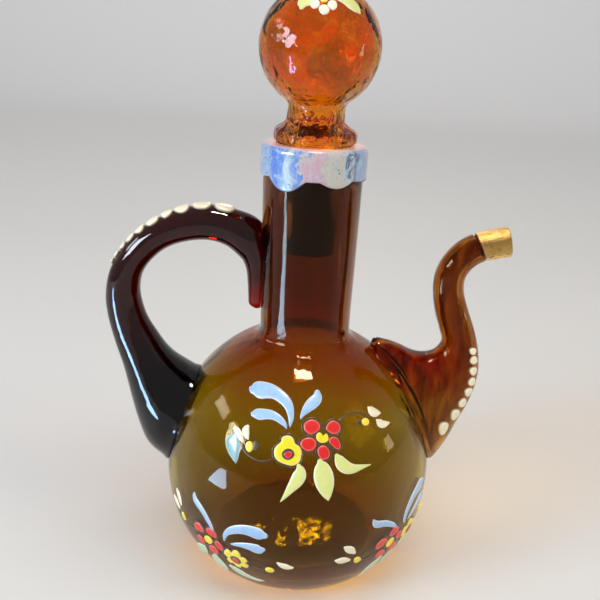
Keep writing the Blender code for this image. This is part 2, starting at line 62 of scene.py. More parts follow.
# The solids' own sizes, repeated from the part
BELLY_HEIGHT = 0.0300
SHOULDER_RISE = 0.0430
BASE_RADIUS = 0.0264
FOOT_ROUND = 0.0012
BASE_THICKNESS = 0.0048
SHOULDER_POWER = 2.0
FOOT_POWER = 2.13
FLOOR_POWER = 3.0
NECK_RADIUS = 0.0130
NECK_TOP_RADIUS = 0.01375
NECK_FILLET = 0.0030
RIM_THICKNESS = 0.0038
RIM_ROUND = 0.0006
LIP_LENGTH = 0.0075
GAP = 0.0003
ENAMEL_THICKNESS = 0.0006
COAT_DEPTH = 0.0073
COAT_HOLE_SETBACK = 0.0004
COAT_EDGE_ROUND = 0.0012
DRIP_RUN = 0.0030
DRIPS = (
    (-163, 15, 0.12),
    (-121, 23, 1.00),
    (-64, 19, 0.50),
    (-25, 15, 0.12),
    (14, 24, 0.75),
    (58, 19, 0.33),
    (98, 26, 0.95),
    (146, 20, 0.52),
)
SEAT_OVERLAP = 0.0013
FLANGE_HEIGHT = 0.0064
FLANGE_ROLL = 0.0018
STEM_RADIUS = 0.0076
STEM_LENGTH = 0.0038
STEM_FILLET = 0.0014
PLUG_CLEARANCE = 0.0006
PLUG_LENGTH = 0.0300
PLUG_TIP_RADIUS = 0.0067
PLUG_END_ROUND = 0.0014
SPOUT_REACH = 0.0171
SPOUT_DROP = 0.0192
SPOUT_TUBE_RADIUS = 0.0044
SPOUT_ROOT_HEIGHT = 0.0214
SPOUT_ROOT_WIDTH = 0.0130
SPOUT_PINCH = 0.45
POUR_HOLE_RADIUS = 0.0090
GILDING_LENGTH = 0.0082
GILDING_THICKNESS = 0.00035
HANDLE_REACH = 0.0180
HANDLE_DROP = 0.0172
HANDLE_ROD_RADIUS = 0.0050
HANDLE_ROOT_HEIGHT = 0.0147
HANDLE_ROOT_WIDTH = 0.0137
HANDLE_DOT_REACH = 0.0486
SPOUT_DOT_REACH = 0.0330

# Stations of the two limbs, as in the part: centre out, centre up, tilt, size
SPOUT_STATIONS = (
    (-0.585, 0.243, -58, 1.74),
    (-0.538, 0.280, -60, 2.00),
    (-0.322, 0.316, -57, 1.86),
    (-0.108, 0.354, -50, 1.63),
    (0.085, 0.388, -38, 1.43),
    (0.24, 0.427, -26, 1.27),
    (0.325, 0.471, -16, 1.15),
    (0.342, 0.528, -6, 1.06),
    (0.254, 0.591, 2, 1.04),
    (0.129, 0.663, 8, 1.02),
    (0.044, 0.732, 7, 1.00),
    (0.032, 0.791, -1, 0.99),
    (0.103, 0.840, -16, 0.99),
    (0.240, 0.881, -34, 0.99),
    (0.395, 0.907, -54, 0.97),
    (0.550, 0.921, -70, 0.96),
    (0.936, 0.942, -78, 0.98),
)
HANDLE_STATIONS = (
    (0.372, 0.128, -76, 1.98),
    (0.499, 0.163, -72, 2.00),
    (0.602, 0.209, -65, 1.92),
    (0.674, 0.271, -60, 1.68),
    (0.731, 0.341, -55, 1.44),
    (0.784, 0.424, -46, 1.23),
    (0.839, 0.503, -33, 1.10),
    (0.876, 0.580, -20, 1.04),
    (0.889, 0.657, -8, 1.00),
    (0.861, 0.736, 5, 0.93),
    (0.784, 0.807, 22, 0.88),
    (0.669, 0.869, 41, 0.87),
    (0.524, 0.911, 60, 0.93),
    (0.364, 0.931, 79, 1.00),
    (0.212, 0.919, 101, 1.03),
    (0.085, 0.880, 124, 1.08),
    (0.026, 0.807, 145, 0.88),
    (0.022, 0.731, 160, 0.66),
    (0.027, 0.668, 172, 0.52),
    (0.030, 0.634, 176, 0.44),
    (0.026, 0.617, 178, 0.20),
)

# Each dot: its place and radius as shares of the row's reach, and its bearing
HANDLE_DOTS = (
    (0.216, 0.062, -3),
    (0.346, 0.057, -3),
    (0.461, 0.048, -9),
    (0.556, 0.040, -10),
    (0.650, 0.044, -11),
    (0.741, 0.037, -11),
    (0.817, 0.033, -9),
    (0.887, 0.029, -7),
    (0.949, 0.023, -5),
    (1.000, 0.019, -4),
)
SPOUT_DOTS = (
    (0.224, 0.065, -51),
    (0.391, 0.056, -46),
    (0.512, 0.046, -46),
    (0.621, 0.044, -46),
    (0.718, 0.042, -48),
    (0.815, 0.042, -52),
    (0.915, 0.041, -54),
    (1.000, 0.036, -57),
)

# Brush strokes and petals, in millimetres on the unrolled glass. A stroke runs
# through points of (across, up, half width), and a petal is a ring about a middle.
HIGH_SPRAY = {
    "blue": {
        "strokes": (
            ((-16.75, 36.54, 1.13), (-15.83, 36.78, 1.88), (-14.56, 37.08, 2.28),
             (-12.7, 37.53, 2.21), (-10.75, 37.58, 2.04), (-9.03, 36.97, 1.83), (-7.5, 35.91, 1.65),
             (-6.45, 34.52, 1.36), (-5.88, 32.74, 1.01), (-5.75, 30.93, 0.71), (-5.94, 29.39, 0.35),
             (-6.03, 28.8, 0.12)),
            ((-16.18, 30.31, 0.78), (-15.42, 30.49, 1.22), (-14.37, 30.73, 1.41),
             (-12.62, 31.14, 1.33), (-10.9, 31.23, 1.23), (-9.37, 30.79, 1.08), (-8.13, 29.97, 0.9),
             (-7.32, 29.1, 0.54), (-6.98, 28.32, 0.18)),
            ((1.49, 38.37, 0.79), (1.44, 37.28, 1.28), (0.94, 36.28, 1.57), (-0.05, 35.26, 1.57),
             (-1.17, 34.15, 1.27), (-2.15, 32.97, 0.85), (-2.85, 31.88, 0.45),
             (-3.13, 31.12, 0.16)),
        ),
    },
    "leaf": {
        "strokes": (
            ((-3.72, 18.96, 0.6), (-3.37, 17.86, 1.33), (-3.56, 16.4, 1.76), (-4.46, 14.74, 1.61),
             (-5.62, 13.13, 1.18), (-6.91, 11.22, 0.66), (-8.24, 9.33, 0.14)),
            ((1.85, 20.07, 0.85), (2.14, 19.06, 1.76), (2.51, 17.45, 2.42), (2.91, 15.64, 2.62),
             (3.3, 13.93, 2.38), (3.68, 12.22, 1.72), (3.99, 10.82, 0.95), (4.12, 10.12, 0.35)),
            ((6.32, 21.28, 0.64), (6.89, 20.27, 1.3), (7.8, 18.91, 1.65), (9.24, 17.85, 1.56),
             (11.0, 17.35, 1.21), (13.13, 17.35, 0.73), (15.36, 17.4, 0.28), (16.21, 17.35, 0.12)),
        ),
    },
    "cream": {
        "strokes": (
            ((16.5, 31.98, 0.31), (17.16, 31.25, 0.96), (18.16, 30.33, 1.14), (19.46, 29.76, 0.88),
             (20.48, 29.47, 0.36)),
            ((19.11, 28.05, 0.32), (19.88, 27.26, 0.94), (21.05, 26.46, 0.97), (22.41, 26.13, 0.76),
             (23.87, 25.99, 0.24)),
            ((-17.67, 26.88, 0.45), (-18.1, 26.08, 0.94), (-18.3, 25.14, 1.19),
             (-17.94, 24.39, 0.83), (-17.67, 23.94, 0.45)),
            # The last cream stroke, the left bud's upper leaf, is partly painted reflection: a
            # window's reflection lies over the leaf, so it is drawn in bright cream
            ((-19.1, 22.9, 0.4), (-19.9, 23.6, 1.0), (-20.7, 24.5, 1.2), (-21.5, 25.4, 0.9),
             (-21.8, 26.0, 0.3)),
        ),
    },
    "pale": {
        "strokes": (
            ((-21.5, 22.9, 1.5), (-21.8, 22.0, 2.4), (-22.0, 20.9, 2.6), (-21.8, 19.5, 2.0),
             (-21.3, 18.0, 1.1), (-21.0, 16.9, 0.25)),
        ),
    },
    "red": {
        "petals": (
            ((-0.31, 29.0), ((1.87, 29.49), (1.65, 28.32), (0.69, 27.59), (-0.61, 27.05),
             (-1.72, 27.63), (-2.35, 28.46), (-2.33, 29.68), (-1.53, 30.59), (-0.26, 31.03),
             (1.03, 30.6))),
            ((5.44, 28.73), ((7.47, 28.05), (6.6, 27.11), (5.39, 26.95), (4.1, 27.64),
             (3.42, 28.52), (3.88, 29.69), (4.87, 30.38), (5.86, 30.38), (6.98, 29.56))),
            ((5.74, 24.58), ((4.18, 25.67), (5.03, 26.27), (6.3, 25.97), (7.12, 24.78),
             (7.35, 23.63), (6.96, 22.93), (6.11, 23.08), (5.15, 23.98), (4.34, 24.78))),
            ((2.74, 22.43), ((4.3, 22.58), (4.38, 21.53), (3.74, 20.77), (2.8, 20.57),
             (1.84, 20.97), (1.24, 22.07), (1.12, 23.22), (1.86, 24.12), (2.94, 24.23),
             (3.75, 23.63))),
            ((-1.36, 24.57), ((0.83, 24.57), (0.38, 23.53), (-0.69, 22.88), (-1.89, 22.97),
             (-3.03, 23.72), (-3.34, 24.77), (-2.68, 25.81), (-1.33, 26.35), (-0.01, 26.11),
             (0.69, 25.36))),
        ),
        "centres": (
            ((-6.48, 21.78), ((-5.47, 21.92), (-5.78, 21.22), (-6.47, 20.77), (-7.16, 21.07),
             (-7.57, 21.72), (-7.07, 22.28), (-6.27, 22.53), (-5.65, 22.48))),
        ),
    },
    "yellow": {
        "petals": (
            ((2.43, 26.06), ((4.02, 26.36), (4.03, 25.57), (3.36, 24.97), (2.27, 24.87),
             (1.25, 25.37), (0.78, 26.36), (1.09, 27.34), (1.77, 27.59), (2.25, 27.24),
             (2.57, 26.7), (3.01, 27.0), (3.61, 27.2))),
            ((-6.53, 22.48), ((-2.98, 22.68), (-3.14, 21.27), (-3.61, 19.87), (-5.31, 18.91),
             (-6.91, 19.06), (-8.65, 19.52), (-9.88, 20.37), (-10.27, 21.97), (-9.77, 23.38),
             (-8.38, 24.77), (-8.24, 25.66), (-7.45, 26.35), (-6.13, 26.55), (-5.15, 25.91),
             (-4.64, 24.62), (-3.59, 23.98))),
            ((15.09, 28.6), ((16.25, 28.27), (15.79, 27.61), (14.84, 27.66), (14.09, 28.24),
             (13.87, 28.98), (14.34, 29.53), (15.27, 29.54), (16.08, 28.9))),
            ((-17.1, 21.93), ((-16.0, 22.24), (-16.2, 21.23), (-17.0, 20.53), (-17.83, 20.78),
             (-18.25, 21.68), (-17.99, 22.74), (-17.16, 23.34), (-16.31, 23.13))),
        ),
    },
    "line": {
        "strokes": (
            ((7.16, 30.39, 0.16), (8.82, 31.27, 0.19), (10.85, 31.78, 0.2), (12.76, 31.52, 0.19),
             (14.53, 30.61, 0.19), (16.0, 29.6, 0.16)),
            ((-10.91, 19.97, 0.17), (-12.47, 19.26, 0.2), (-14.28, 18.96, 0.2),
             (-16.31, 19.27, 0.2), (-17.96, 20.02, 0.22), (-18.9, 21.03, 0.2),
             (-19.0, 21.99, 0.17)),
        ),
        "petals": (
            ((-15.31, 22.48), ((-14.36, 22.68), (-14.91, 21.73), (-15.61, 21.28), (-15.96, 21.78),
             (-15.91, 22.78), (-15.81, 23.64), (-15.25, 23.78), (-14.71, 23.28))),
            ((13.07, 28.82), ((13.83, 28.69), (13.5, 28.28), (13.01, 28.18), (12.55, 28.52),
             (12.39, 28.97), (12.68, 29.31), (13.16, 29.37), (13.62, 29.08))),
        ),
        "centres": (
            ((-6.48, 21.82), ((-4.8, 21.92), (-5.33, 20.93), (-6.47, 20.32), (-7.59, 20.62),
             (-8.21, 21.58), (-7.66, 22.63), (-6.49, 23.28), (-5.34, 22.97))),
        ),
    },
}
LOW_SPRAY = {
    "blue": {
        "strokes": (
            ((-9.54, 3.2, 0.35), (-9.42, 2.3, 0.8), (-8.89, 1.25, 1.08), (-7.76, 0.5, 1.1),
             (-6.42, -0.3, 1.0), (-5.16, -1.4, 0.9), (-3.93, -2.75, 0.8), (-2.87, -4.1, 0.62),
             (-2.1, -5.3, 0.25)),
            ((1.55, -7.1, 0.22), (1.75, -5.6, 0.6), (2.44, -4.2, 0.8), (3.72, -2.9, 1.09),
             (5.58, -1.75, 1.33), (7.61, -1.1, 1.5), (9.47, -0.95, 1.7), (11.05, -1.1, 1.88),
             (12.5, -1.3, 1.7), (13.5, -1.4, 1.0)),
            ((3.69, -7.5, 0.2), (5.13, -7.0, 0.54), (6.72, -6.6, 0.81), (8.51, -6.35, 1.11),
             (10.0, -6.35, 1.4), (11.32, -6.5, 1.62), (12.3, -6.45, 1.42), (13.1, -6.2, 0.7)),
        ),
    },
    "mint": {
        "strokes": (
            ((-7.2, -15.2, 0.6), (-8.0, -16.3, 1.5), (-9.0, -17.5, 2.1), (-10.2, -18.9, 2.1),
             (-11.4, -20.4, 1.4), (-12.4, -21.7, 0.5)),
            ((-3.2, -16.4, 0.8), (-3.3, -17.9, 1.9), (-3.3, -19.7, 2.5), (-3.1, -21.6, 2.5),
             (-2.8, -23.4, 1.8), (-2.5, -25.0, 0.7)),
            ((1.6, -18.4, 0.6), (2.6, -19.2, 1.4), (4.0, -20.3, 1.75), (5.6, -21.3, 1.5),
             (7.3, -21.9, 1.05), (9.0, -22.1, 0.6), (10.8, -22.0, 0.15)),
        ),
    },
    "cream": {
        "strokes": (
            ((-19.1, -1.0, 0.45), (-18.4, -1.9, 1.0), (-17.5, -3.2, 1.1), (-16.7, -4.6, 0.5)),
            ((-21.9, -4.9, 0.4), (-20.9, -5.5, 1.1), (-19.6, -6.2, 1.15), (-18.3, -6.8, 0.5)),
            ((16.9, -10.6, 0.4), (17.9, -11.4, 1.0), (19.2, -11.9, 1.1), (20.6, -12.0, 0.4)),
        ),
    },
    "red": {
        "petals": (
            ((-7.73, -7.3), ((-9.7, -6.9), (-8.35, -5.85), (-6.9, -6.05), (-5.85, -7.1),
             (-5.9, -8.0), (-7.31, -8.7), (-8.95, -8.9), (-9.85, -8.2))),
            ((-2.89, -6.5), ((-4.75, -6.05), (-3.73, -5.15), (-2.3, -5.1), (-1.2, -5.95),
             (-1.0, -7.1), (-1.8, -7.75), (-3.2, -7.65), (-4.5, -7.15))),
            ((-7.9, -12.3), ((-9.7, -12.0), (-8.9, -11.0), (-7.6, -10.9), (-6.6, -11.6),
             (-6.3, -12.9), (-7.2, -13.7), (-8.5, -13.6), (-9.4, -13.0))),
            ((-3.4, -13.6), ((-4.9, -13.1), (-3.7, -11.9), (-2.3, -12.0), (-1.5, -13.2),
             (-1.7, -14.4), (-3.0, -15.1), (-4.5, -14.9))),
            ((-0.7, -10.3), ((-2.1, -9.5), (-1.2, -8.7), (0.1, -9.2), (0.8, -10.4), (0.6, -11.5),
             (-0.7, -11.7), (-1.8, -10.8))),
        ),
        "centres": (
            ((4.55, -13.1), ((5.55, -13.2), (5.0, -13.9), (4.2, -13.9), (3.6, -13.3), (3.8, -12.5),
             (4.6, -12.2), (5.3, -12.5))),
        ),
    },
    "yellow": {
        "petals": (
            ((-4.6, -10.15), ((-6.0, -9.8), (-4.85, -8.8), (-3.55, -8.8), (-2.85, -9.7),
             (-3.3, -10.95), (-4.55, -11.6), (-5.75, -11.3))),
            ((4.55, -13.3), ((0.7, -12.5), (1.2, -11.1), (2.35, -10.1), (3.5, -10.9), (4.0, -9.9),
             (5.3, -9.3), (6.2, -10.3), (6.2, -11.4), (7.4, -11.4), (8.1, -12.6), (7.2, -13.5),
             (8.1, -14.5), (7.3, -15.8), (5.9, -15.6), (5.2, -16.8), (3.9, -16.7), (3.3, -15.6),
             (2.0, -16.0), (1.2, -14.9), (1.8, -13.8))),
            ((14.13, -14.1), ((12.9, -14.1), (13.7, -13.2), (14.85, -13.2), (15.5, -14.1),
             (14.7, -15.0), (13.4, -15.1))),
            ((-15.68, -8.35), ((-16.7, -7.5), (-15.76, -7.1), (-14.95, -8.0), (-14.6, -9.1),
             (-15.5, -9.7), (-16.65, -9.1))),
        ),
    },
    "line": {
        "strokes": (
            ((-10.3, -9.2, 0.17), (-11.6, -9.9, 0.2), (-13.0, -10.0, 0.2), (-14.4, -9.6, 0.17)),
            ((8.6, -13.6, 0.17), (10.0, -14.2, 0.2), (11.4, -14.5, 0.2), (12.8, -14.4, 0.17)),
        ),
        "centres": (
            ((4.55, -13.1), ((6.25, -13.2), (5.6, -14.4), (4.4, -14.7), (3.1, -13.9), (2.85, -12.7),
             (4.0, -11.7), (5.4, -11.8))),
        ),
    },
}
CROWN_SPRAY = {
    "leaf": {
        "strokes": (
            ((-1.8, 1.0, 0.6), (-2.8, 0.4, 1.5), (-3.7, -0.5, 2.0), (-4.4, -1.5, 1.7),
             (-4.7, -2.4, 0.7)),
            ((2.6, 0.7, 0.5), (4.3, 0.9, 1.1), (6.2, 0.8, 1.7), (7.9, 0.1, 1.8), (9.1, -0.7, 1.2),
             (9.6, -1.1, 0.5)),
            ((-1.2, 3.6, 0.5), (-2.3, 5.0, 1.4), (-3.6, 6.4, 1.8), (-4.9, 7.6, 1.4),
             (-5.7, 8.2, 0.5)),
            ((2.0, 3.6, 0.5), (3.4, 4.8, 1.3), (5.0, 6.0, 1.7), (6.6, 6.8, 1.3), (7.6, 7.1, 0.5)),
        ),
    },
    "cream": {
        "petals": (
            ((0.7, -3.2), ((2.0, -3.3), (1.6, -4.3), (0.6, -4.7), (-0.3, -4.0), (-0.6, -3.0),
             (0.1, -2.2), (1.3, -2.2))),
            ((2.6, -1.6), ((3.7, -1.3), (3.6, -2.5), (2.8, -3.2), (1.8, -2.6), (1.4, -1.6),
             (2.0, -0.7), (3.1, -0.5))),
            ((2.4, 1.3), ((3.6, 1.4), (3.2, 0.4), (2.2, 0.1), (1.3, 0.8), (1.3, 1.9), (2.1, 2.5),
             (3.2, 2.3))),
            ((0.1, 2.6), ((1.2, 2.7), (0.9, 1.7), (-0.1, 1.3), (-1.0, 1.9), (-1.1, 3.0),
             (-0.4, 3.7), (0.7, 3.6))),
            ((-1.5, -1.9), ((-0.4, -1.8), (-0.8, -2.9), (-1.8, -3.2), (-2.6, -2.4), (-2.6, -1.4),
             (-1.8, -0.8), (-0.8, -0.9))),
            ((-1.6, 0.6), ((-0.5, 0.8), (-0.8, -0.3), (-1.8, -0.6), (-2.6, 0.1), (-2.6, 1.1),
             (-1.9, 1.7), (-0.9, 1.6))),
        ),
    },
    "yellow": {
        "petals": (
            ((0.5, -0.4), ((1.5, -0.3), (1.2, -1.1), (0.5, -1.4), (-0.2, -1.0), (-0.4, -0.3),
             (-0.1, 0.4), (0.5, 0.6), (1.2, 0.4))),
        ),
    },
}

# Where the sprays lie, in degrees round the cruet from the spout. The low sprays are turned
# about their flower, and the blossom on the ball leans away from straight up.
HIGH_BEARING = -84
LOW_BEARINGS = (-121, -39.5)
LOW_TURNS = (0, 16)
LOW_FLOWER = (-4.5, -10.0)
CROWN_BEARING = -91.9
CROWN_LEAN = 45.3

MILLIMETRE = 0.001
# How far the limbs' feet, the handle's tail and the paint stand off the glass
SKIN_GAP = 0.00004
TAIL_GAP = 0.00005
PAINT_GAP = 0.00002

# Steps of the bottle's profile along the bulb, along a fillet and round an edge
FINE_STEPS = (40, 16, 6)
COARSE_STEPS = (8, 4, 3)
# The limbs run free from this station on, with this many rings before it
JOIN_STATION = 5.0
ROOT_STEPS = 26
# Steps in which a limb's length is measured
PATH_STEPS = 240

# The height on the cruet that the lamps face
LAMP_TARGET = 0.07
# Each lamp: name, place, width and height, watts, colour, the rays that pass it by, and its
# turn in degrees where it doesn't face the cruet
LAMPS = (
    ("ceiling", (0.10, -0.25, 1.15), (0.90, 0.90), 5.0, (1.0, 0.97, 0.93),
     ("glossy", "transmission"), None),
    ("left_softbox", (-0.80, -0.47, 0.38), (0.36, 0.22), 7.0, (0.80, 0.90, 1.0), (), None),
    ("left_side", (-0.78, 0.0, 0.40), (0.24, 0.12), 0.9, (0.86, 0.93, 1.0), ("diffuse",), None),
    ("warm_side", (0.75, -0.30, 0.55), (0.40, 0.40), 3.0, (1.0, 0.90, 0.78), ("glossy",), None),
    ("right_glint", (0.80, -0.05, 0.14), (0.14, 0.12), 0.35, (1.0, 0.92, 0.80),
     ("diffuse",), None),
    ("lamp_above", (0.0, -0.08, 1.10), (0.24, 0.11), 7.0, (1.0, 0.94, 0.84), ("diffuse",), None),
    ("back_glint", (0.020, 0.90, 0.62), (0.03, 0.03), 1.9, (1.0, 0.90, 0.75),
     ("diffuse",), None),
    ("floor_gleam", (-0.316, -0.1825, 0.001), (0.39, 0.05), 2.4, (0.36, 0.60, 1.0),
     ("diffuse", "transmission", "camera"), (180, 0, 30)),
)


def length_property(name, description, default, least, most):
    return FloatProperty(
        name=name, description=description, default=default, min=least, max=most, unit="LENGTH"
    )


class CruetSizes(bpy.types.PropertyGroup):
    """Sizes of the glass and of the enamel's relief."""

    bulb_radius: length_property(
        "Bulb Radius", "Outer radius of the bulb at its belly", BOTTLE_HIGH.y, 0.02, 0.1
    )
    rim_height: length_property(
        "Rim Height", "Height of the neck's rim above the base", BOTTLE_HIGH.z, 0.05, 0.3
    )
    bulb_wall: length_property(
        "Bulb Wall", "Thickness of the bulb's glass", 0.0020, 0.0008, 0.004
    )
    neck_wall: length_property(
        "Neck Wall", "Thickness of the neck's glass", 0.0022, 0.0008, 0.004
    )
    spout_wall: length_property(
        "Spout Wall", "Thickness of the spout's glass", 0.0012, 0.0005, 0.003
    )
    ball_radius: length_property(
        "Ball Radius", "Outer radius of the stopper's ball", 0.0159, 0.008, 0.03
    )
    stopper_wall: length_property(
        "Stopper Wall", "Thickness of the stopper's glass", 0.0016, 0.0006, 0.004
    )
    join_flare: length_property(
        "Join Flare",
        "How far the hot glass spread where the spout and the handle meet the bulb",
        0.0006, 0.0, 0.003,
    )
    dot_height: length_property(
        "Dot Height", "How far the enamel dots stand off the glass", 0.0005, 0.0001, 0.001
    )
    relief: length_property(
        "Paint Relief", "How thick the painted enamel lies on the glass", 0.00034, 0.0001, 0.001
    )
    glass_segments: IntProperty(
        name="Glass Segments",
        description="How many sides the turned glass is built with",
        default=144,
        min=48,
        max=256,
    )


def colour_property(name, description, default):
    return FloatVectorProperty(
        name=name,
        description=description,
        default=default,
        min=0.0,
        max=1.0,
        size=3,
        subtype="COLOR",
    )


class CruetColours(bpy.types.PropertyGroup):
    """Colours of the glass, the enamels and the gold."""

    belly: colour_property("Belly Glass", "Tint of the bulb's glass", (0.51, 0.41, 0.022))
    shoulder: colour_property(
        "Shoulder Glass", "Tint of the glass round the neck's foot", (0.50, 0.105, 0.005)
    )
    neck: colour_property("Neck Glass", "Tint of the neck's glass", (0.29, 0.080, 0.008))
    spout: colour_property("Spout Glass", "Tint of the spout's glass", (0.40, 0.15, 0.014))
    spout_root: colour_property(
        "Spout Root Glass", "Tint where the spout meets the bulb", (0.50, 0.30, 0.03)
    )
    handle: colour_property(
        "Handle Glass", "Tint of the handle's nearly black glass", (0.24, 0.018, 0.006)
    )
    stopper: colour_property("Stopper Glass", "Tint of the stopper's glass", (0.97, 0.33, 0.010))
    blue: colour_property("Blue Enamel", "Blue of the brush strokes", (0.36, 0.56, 0.80))
    red: colour_property("Red Enamel", "Red of the petals", (0.72, 0.012, 0.008))
    yellow: colour_property("Yellow Enamel", "Yellow of the flowers", (0.88, 0.73, 0.012))
    leaf: colour_property("Leaf Enamel", "Pale green of the leaves", (0.70, 0.74, 0.26))
    mint: colour_property("Mint Enamel", "Blue green of the low leaves", (0.46, 0.66, 0.47))
    pale: colour_property(
        "Pale Blue Enamel", "Pale blue of the left bud's leaf", (0.22, 0.40, 0.42)
    )
    cream: colour_property("Cream Enamel", "Cream of the dots and the buds", (0.86, 0.80, 0.58))
    line: colour_property(
        "Line Enamel", "Grey brown of the drawn lines", (0.045, 0.038, 0.030)
    )
    cobalt: colour_property("Rim Blue", "Blue of the rim's enamel", (0.075, 0.20, 0.62))
    sky: colour_property("Rim Pale Blue", "Pale blue of the rim's enamel", (0.24, 0.36, 0.58))
    rose: colour_property("Rim Pink", "Pink of the rim's enamel", (0.54, 0.36, 0.42))
    bone: colour_property("Rim Cream", "Cream grey of the rim's enamel", (0.50, 0.49, 0.43))
    gold: colour_property("Gold", "Colour of the gilding", (0.88, 0.58, 0.16))
    floor: colour_property("Floor", "Colour of the studio floor", (0.68, 0.67, 0.65))


# Shader nodes


def both_ways(operation):
    """An operator and its reflected form, each adding one Math node."""
    def forward(self, other):
        return self.maths(operation, self, other)

    def reflected(self, other):
        return self.maths(operation, other, self)

    return forward, reflected


class Number:
    """A node's output. Python's operators on it add Math nodes."""

    def __init__(self, bench, link):
        self.bench = bench
        self.link = link

    def maths(self, operation, *values, clamp=False):
        settings = {"operation": operation, "use_clamp": clamp}
        return self.bench.node("Math", settings, dict(enumerate(values)))

    __add__, __radd__ = both_ways("ADD")
    __sub__, __rsub__ = both_ways("SUBTRACT")
    __mul__, __rmul__ = both_ways("MULTIPLY")
    __truediv__, __rtruediv__ = both_ways("DIVIDE")

    def at_least(self, other):
        return self.maths("MAXIMUM", self, other)

    def between(self, low, high):
        """0 below low, 1 above high, and straight in between."""
        return self.maths("MULTIPLY", self - low, 1 / (high - low), clamp=True)


class Bench:
    """The node tree of one material or world."""

    def __init__(self, owner):
        owner.use_nodes = True
        self.owner = owner
        self.tree = owner.node_tree
        self.tree.nodes.clear()

    def node(self, kind, settings=None, inputs=None, out=0):
        made = self.tree.nodes.new("ShaderNode" + kind)
        for key, value in (settings or {}).items():
            if key == "stops":
                ramp = made.color_ramp
                while len(ramp.elements) < len(value):
                    ramp.elements.new(1.0)
                for element, (place, colour) in zip(ramp.elements, value):
                    element.position = place
                    element.color = (*colour, 1.0)
            else:
                setattr(made, key, value)
        for key, value in (inputs or {}).items():
            if isinstance(value, Number):
                self.tree.links.new(value.link, made.inputs[key])
            else:
                made.inputs[key].default_value = value
        return Number(self, made.outputs[out]) if len(made.outputs) else None

    def place(self):
        """Where a point lies in the cruet's own frame."""
        return self.node("TexCoord", out="Object")

    def parts(self, vector):
        """A vector's three numbers."""
        split = self.node("SeparateXYZ", inputs={"Vector": vector}).link.node
        return [Number(self, socket) for socket in split.outputs]

    def stretch(self, vector, x, y, z):
        return self.node("VectorMath", {"operation": "MULTIPLY"}, {0: vector, 1: (x, y, z)})

    def cloud(self, vector, scale, detail=3.0, roughness=0.5, distortion=0.0):
        values = {
            "Scale": scale, "Detail": detail, "Roughness": roughness, "Distortion": distortion
        }
        return self.node("TexNoise", inputs={"Vector": vector, **values})

    def cells(self, vector, scale):
        return self.node("TexVoronoi", inputs={"Vector": vector, "Scale": scale})

    def blend(self, share, first, second):
        first, second = (c if isinstance(c, Number) else (*c, 1.0) for c in (first, second))
        return self.node("Mix", {"data_type": "RGBA"}, {0: share, 6: first, 7: second}, out=2)

    def bump(self, height, distance, strength):
        inputs = {"Height": height, "Distance": distance, "Strength": strength}
        return self.node("Bump", inputs=inputs)

    def attribute(self, name):
        return self.node("Attribute", {"attribute_name": name}, out="Fac")

    def shader(self, **inputs):
        named = {key.replace("_", " "): value for key, value in inputs.items()}
        return self.node("BsdfPrincipled", inputs=named)

    def finish(self, surface, volume=None):
        inputs = {"Surface": surface}
        if volume:
            inputs["Volume"] = volume
        self.node("OutputMaterial", inputs=inputs)
        return self.owner


# Glass reflects this share of what it would: its own colour takes the rest
GLASS_SHEEN = (0.36, 0.29, 0.20, 1.0)
HONEY_SHEEN = (0.40, 0.40, 0.46, 1.0)
DARK_SHEEN = (0.7, 0.7, 0.7, 1.0)


def new_bench(name):
    return Bench(bpy.data.materials.new(name))


def glass(bench, tint, smear, relief, depth, density, stain, sheen=GLASS_SHEEN, ior=1.5):
    """Glass with a tinted skin that is deeper in colour where it is thick.

    Lamps shine through it in the stain's colour, so that its shadow is tinted too.
    """
    body = bench.shader(
        Base_Color=tint, Roughness=smear, IOR=ior, Transmission_Weight=1.0, Specular_Tint=sheen,
        Normal=relief,
    )
    inside = bench.node("VolumeAbsorption", inputs={"Color": (*depth, 1.0), "Density": density})
    clear = bench.node("BsdfTransparent", inputs={"Color": (*stain, 1.0)})
    lamp = bench.node("LightPath", out="Is Shadow Ray")
    return bench.finish(bench.node("MixShader", inputs={0: lamp, 1: body, 2: clear}), inside)


def fired(bench, tint, dull, relief, coat):
    """Enamel under a thin clear coat."""
    return bench.finish(
        bench.shader(Base_Color=tint, Roughness=dull, Normal=relief, Coat_Weight=coat, IOR=1.5)
    )


def bottle_glass(colours):
    """Olive amber in the bulb, red round the neck's foot and brown up the neck."""
    bench = new_bench("blown amber glass")
    place = bench.place()
    height = bench.parts(place)[2]
    level = height + (bench.cloud(place, 38.0, 2.0) - 0.5) * 0.010
    tint = bench.blend(level.between(0.055, 0.067), colours.belly, colours.shoulder)
    low = 1 - level.between(0.004, 0.032)
    tint = bench.blend(low * 0.7, tint, (0.27, 0.17, 0.008))
    tint = bench.blend(level.between(0.067, 0.078), tint, colours.neck)
    swirl = bench.cloud(bench.stretch(place, 1.0, 1.0, 0.45), 55.0, 4.0, 0.6, 1.5)
    tint = bench.blend(swirl.between(0.45, 0.75) * 0.25, tint, (0.46, 0.27, 0.02))
    drawn = bench.cloud(bench.stretch(place, 1.0, 1.0, 0.06), 300.0, 3.0)
    up_neck = height.between(0.070, 0.078)
    tint = bench.blend(drawn.between(0.45, 0.75) * up_neck * 0.5, tint, (0.16, 0.035, 0.006))
    wave = bench.cloud(bench.stretch(place, 1.0, 1.0, 0.6), 70.0, 2.0, 0.4)
    fine = bench.cloud(place, 420.0, 2.0, 0.5)
    seam = height.between(0.0670, 0.0705) * (1 - height.between(0.0750, 0.0790))
    waves = wave + fine * (seam * 0.30 + 0.04) + drawn * up_neck * 0.05
    relief = bench.bump(waves, 0.0011, 0.55)
    smear = bench.cloud(place, 130.0, 4.0).between(0.45, 0.8) * 0.05 + 0.012
    return glass(bench, tint, smear, relief, (0.88, 0.70, 0.12), 70.0, (0.92, 0.78, 0.45))


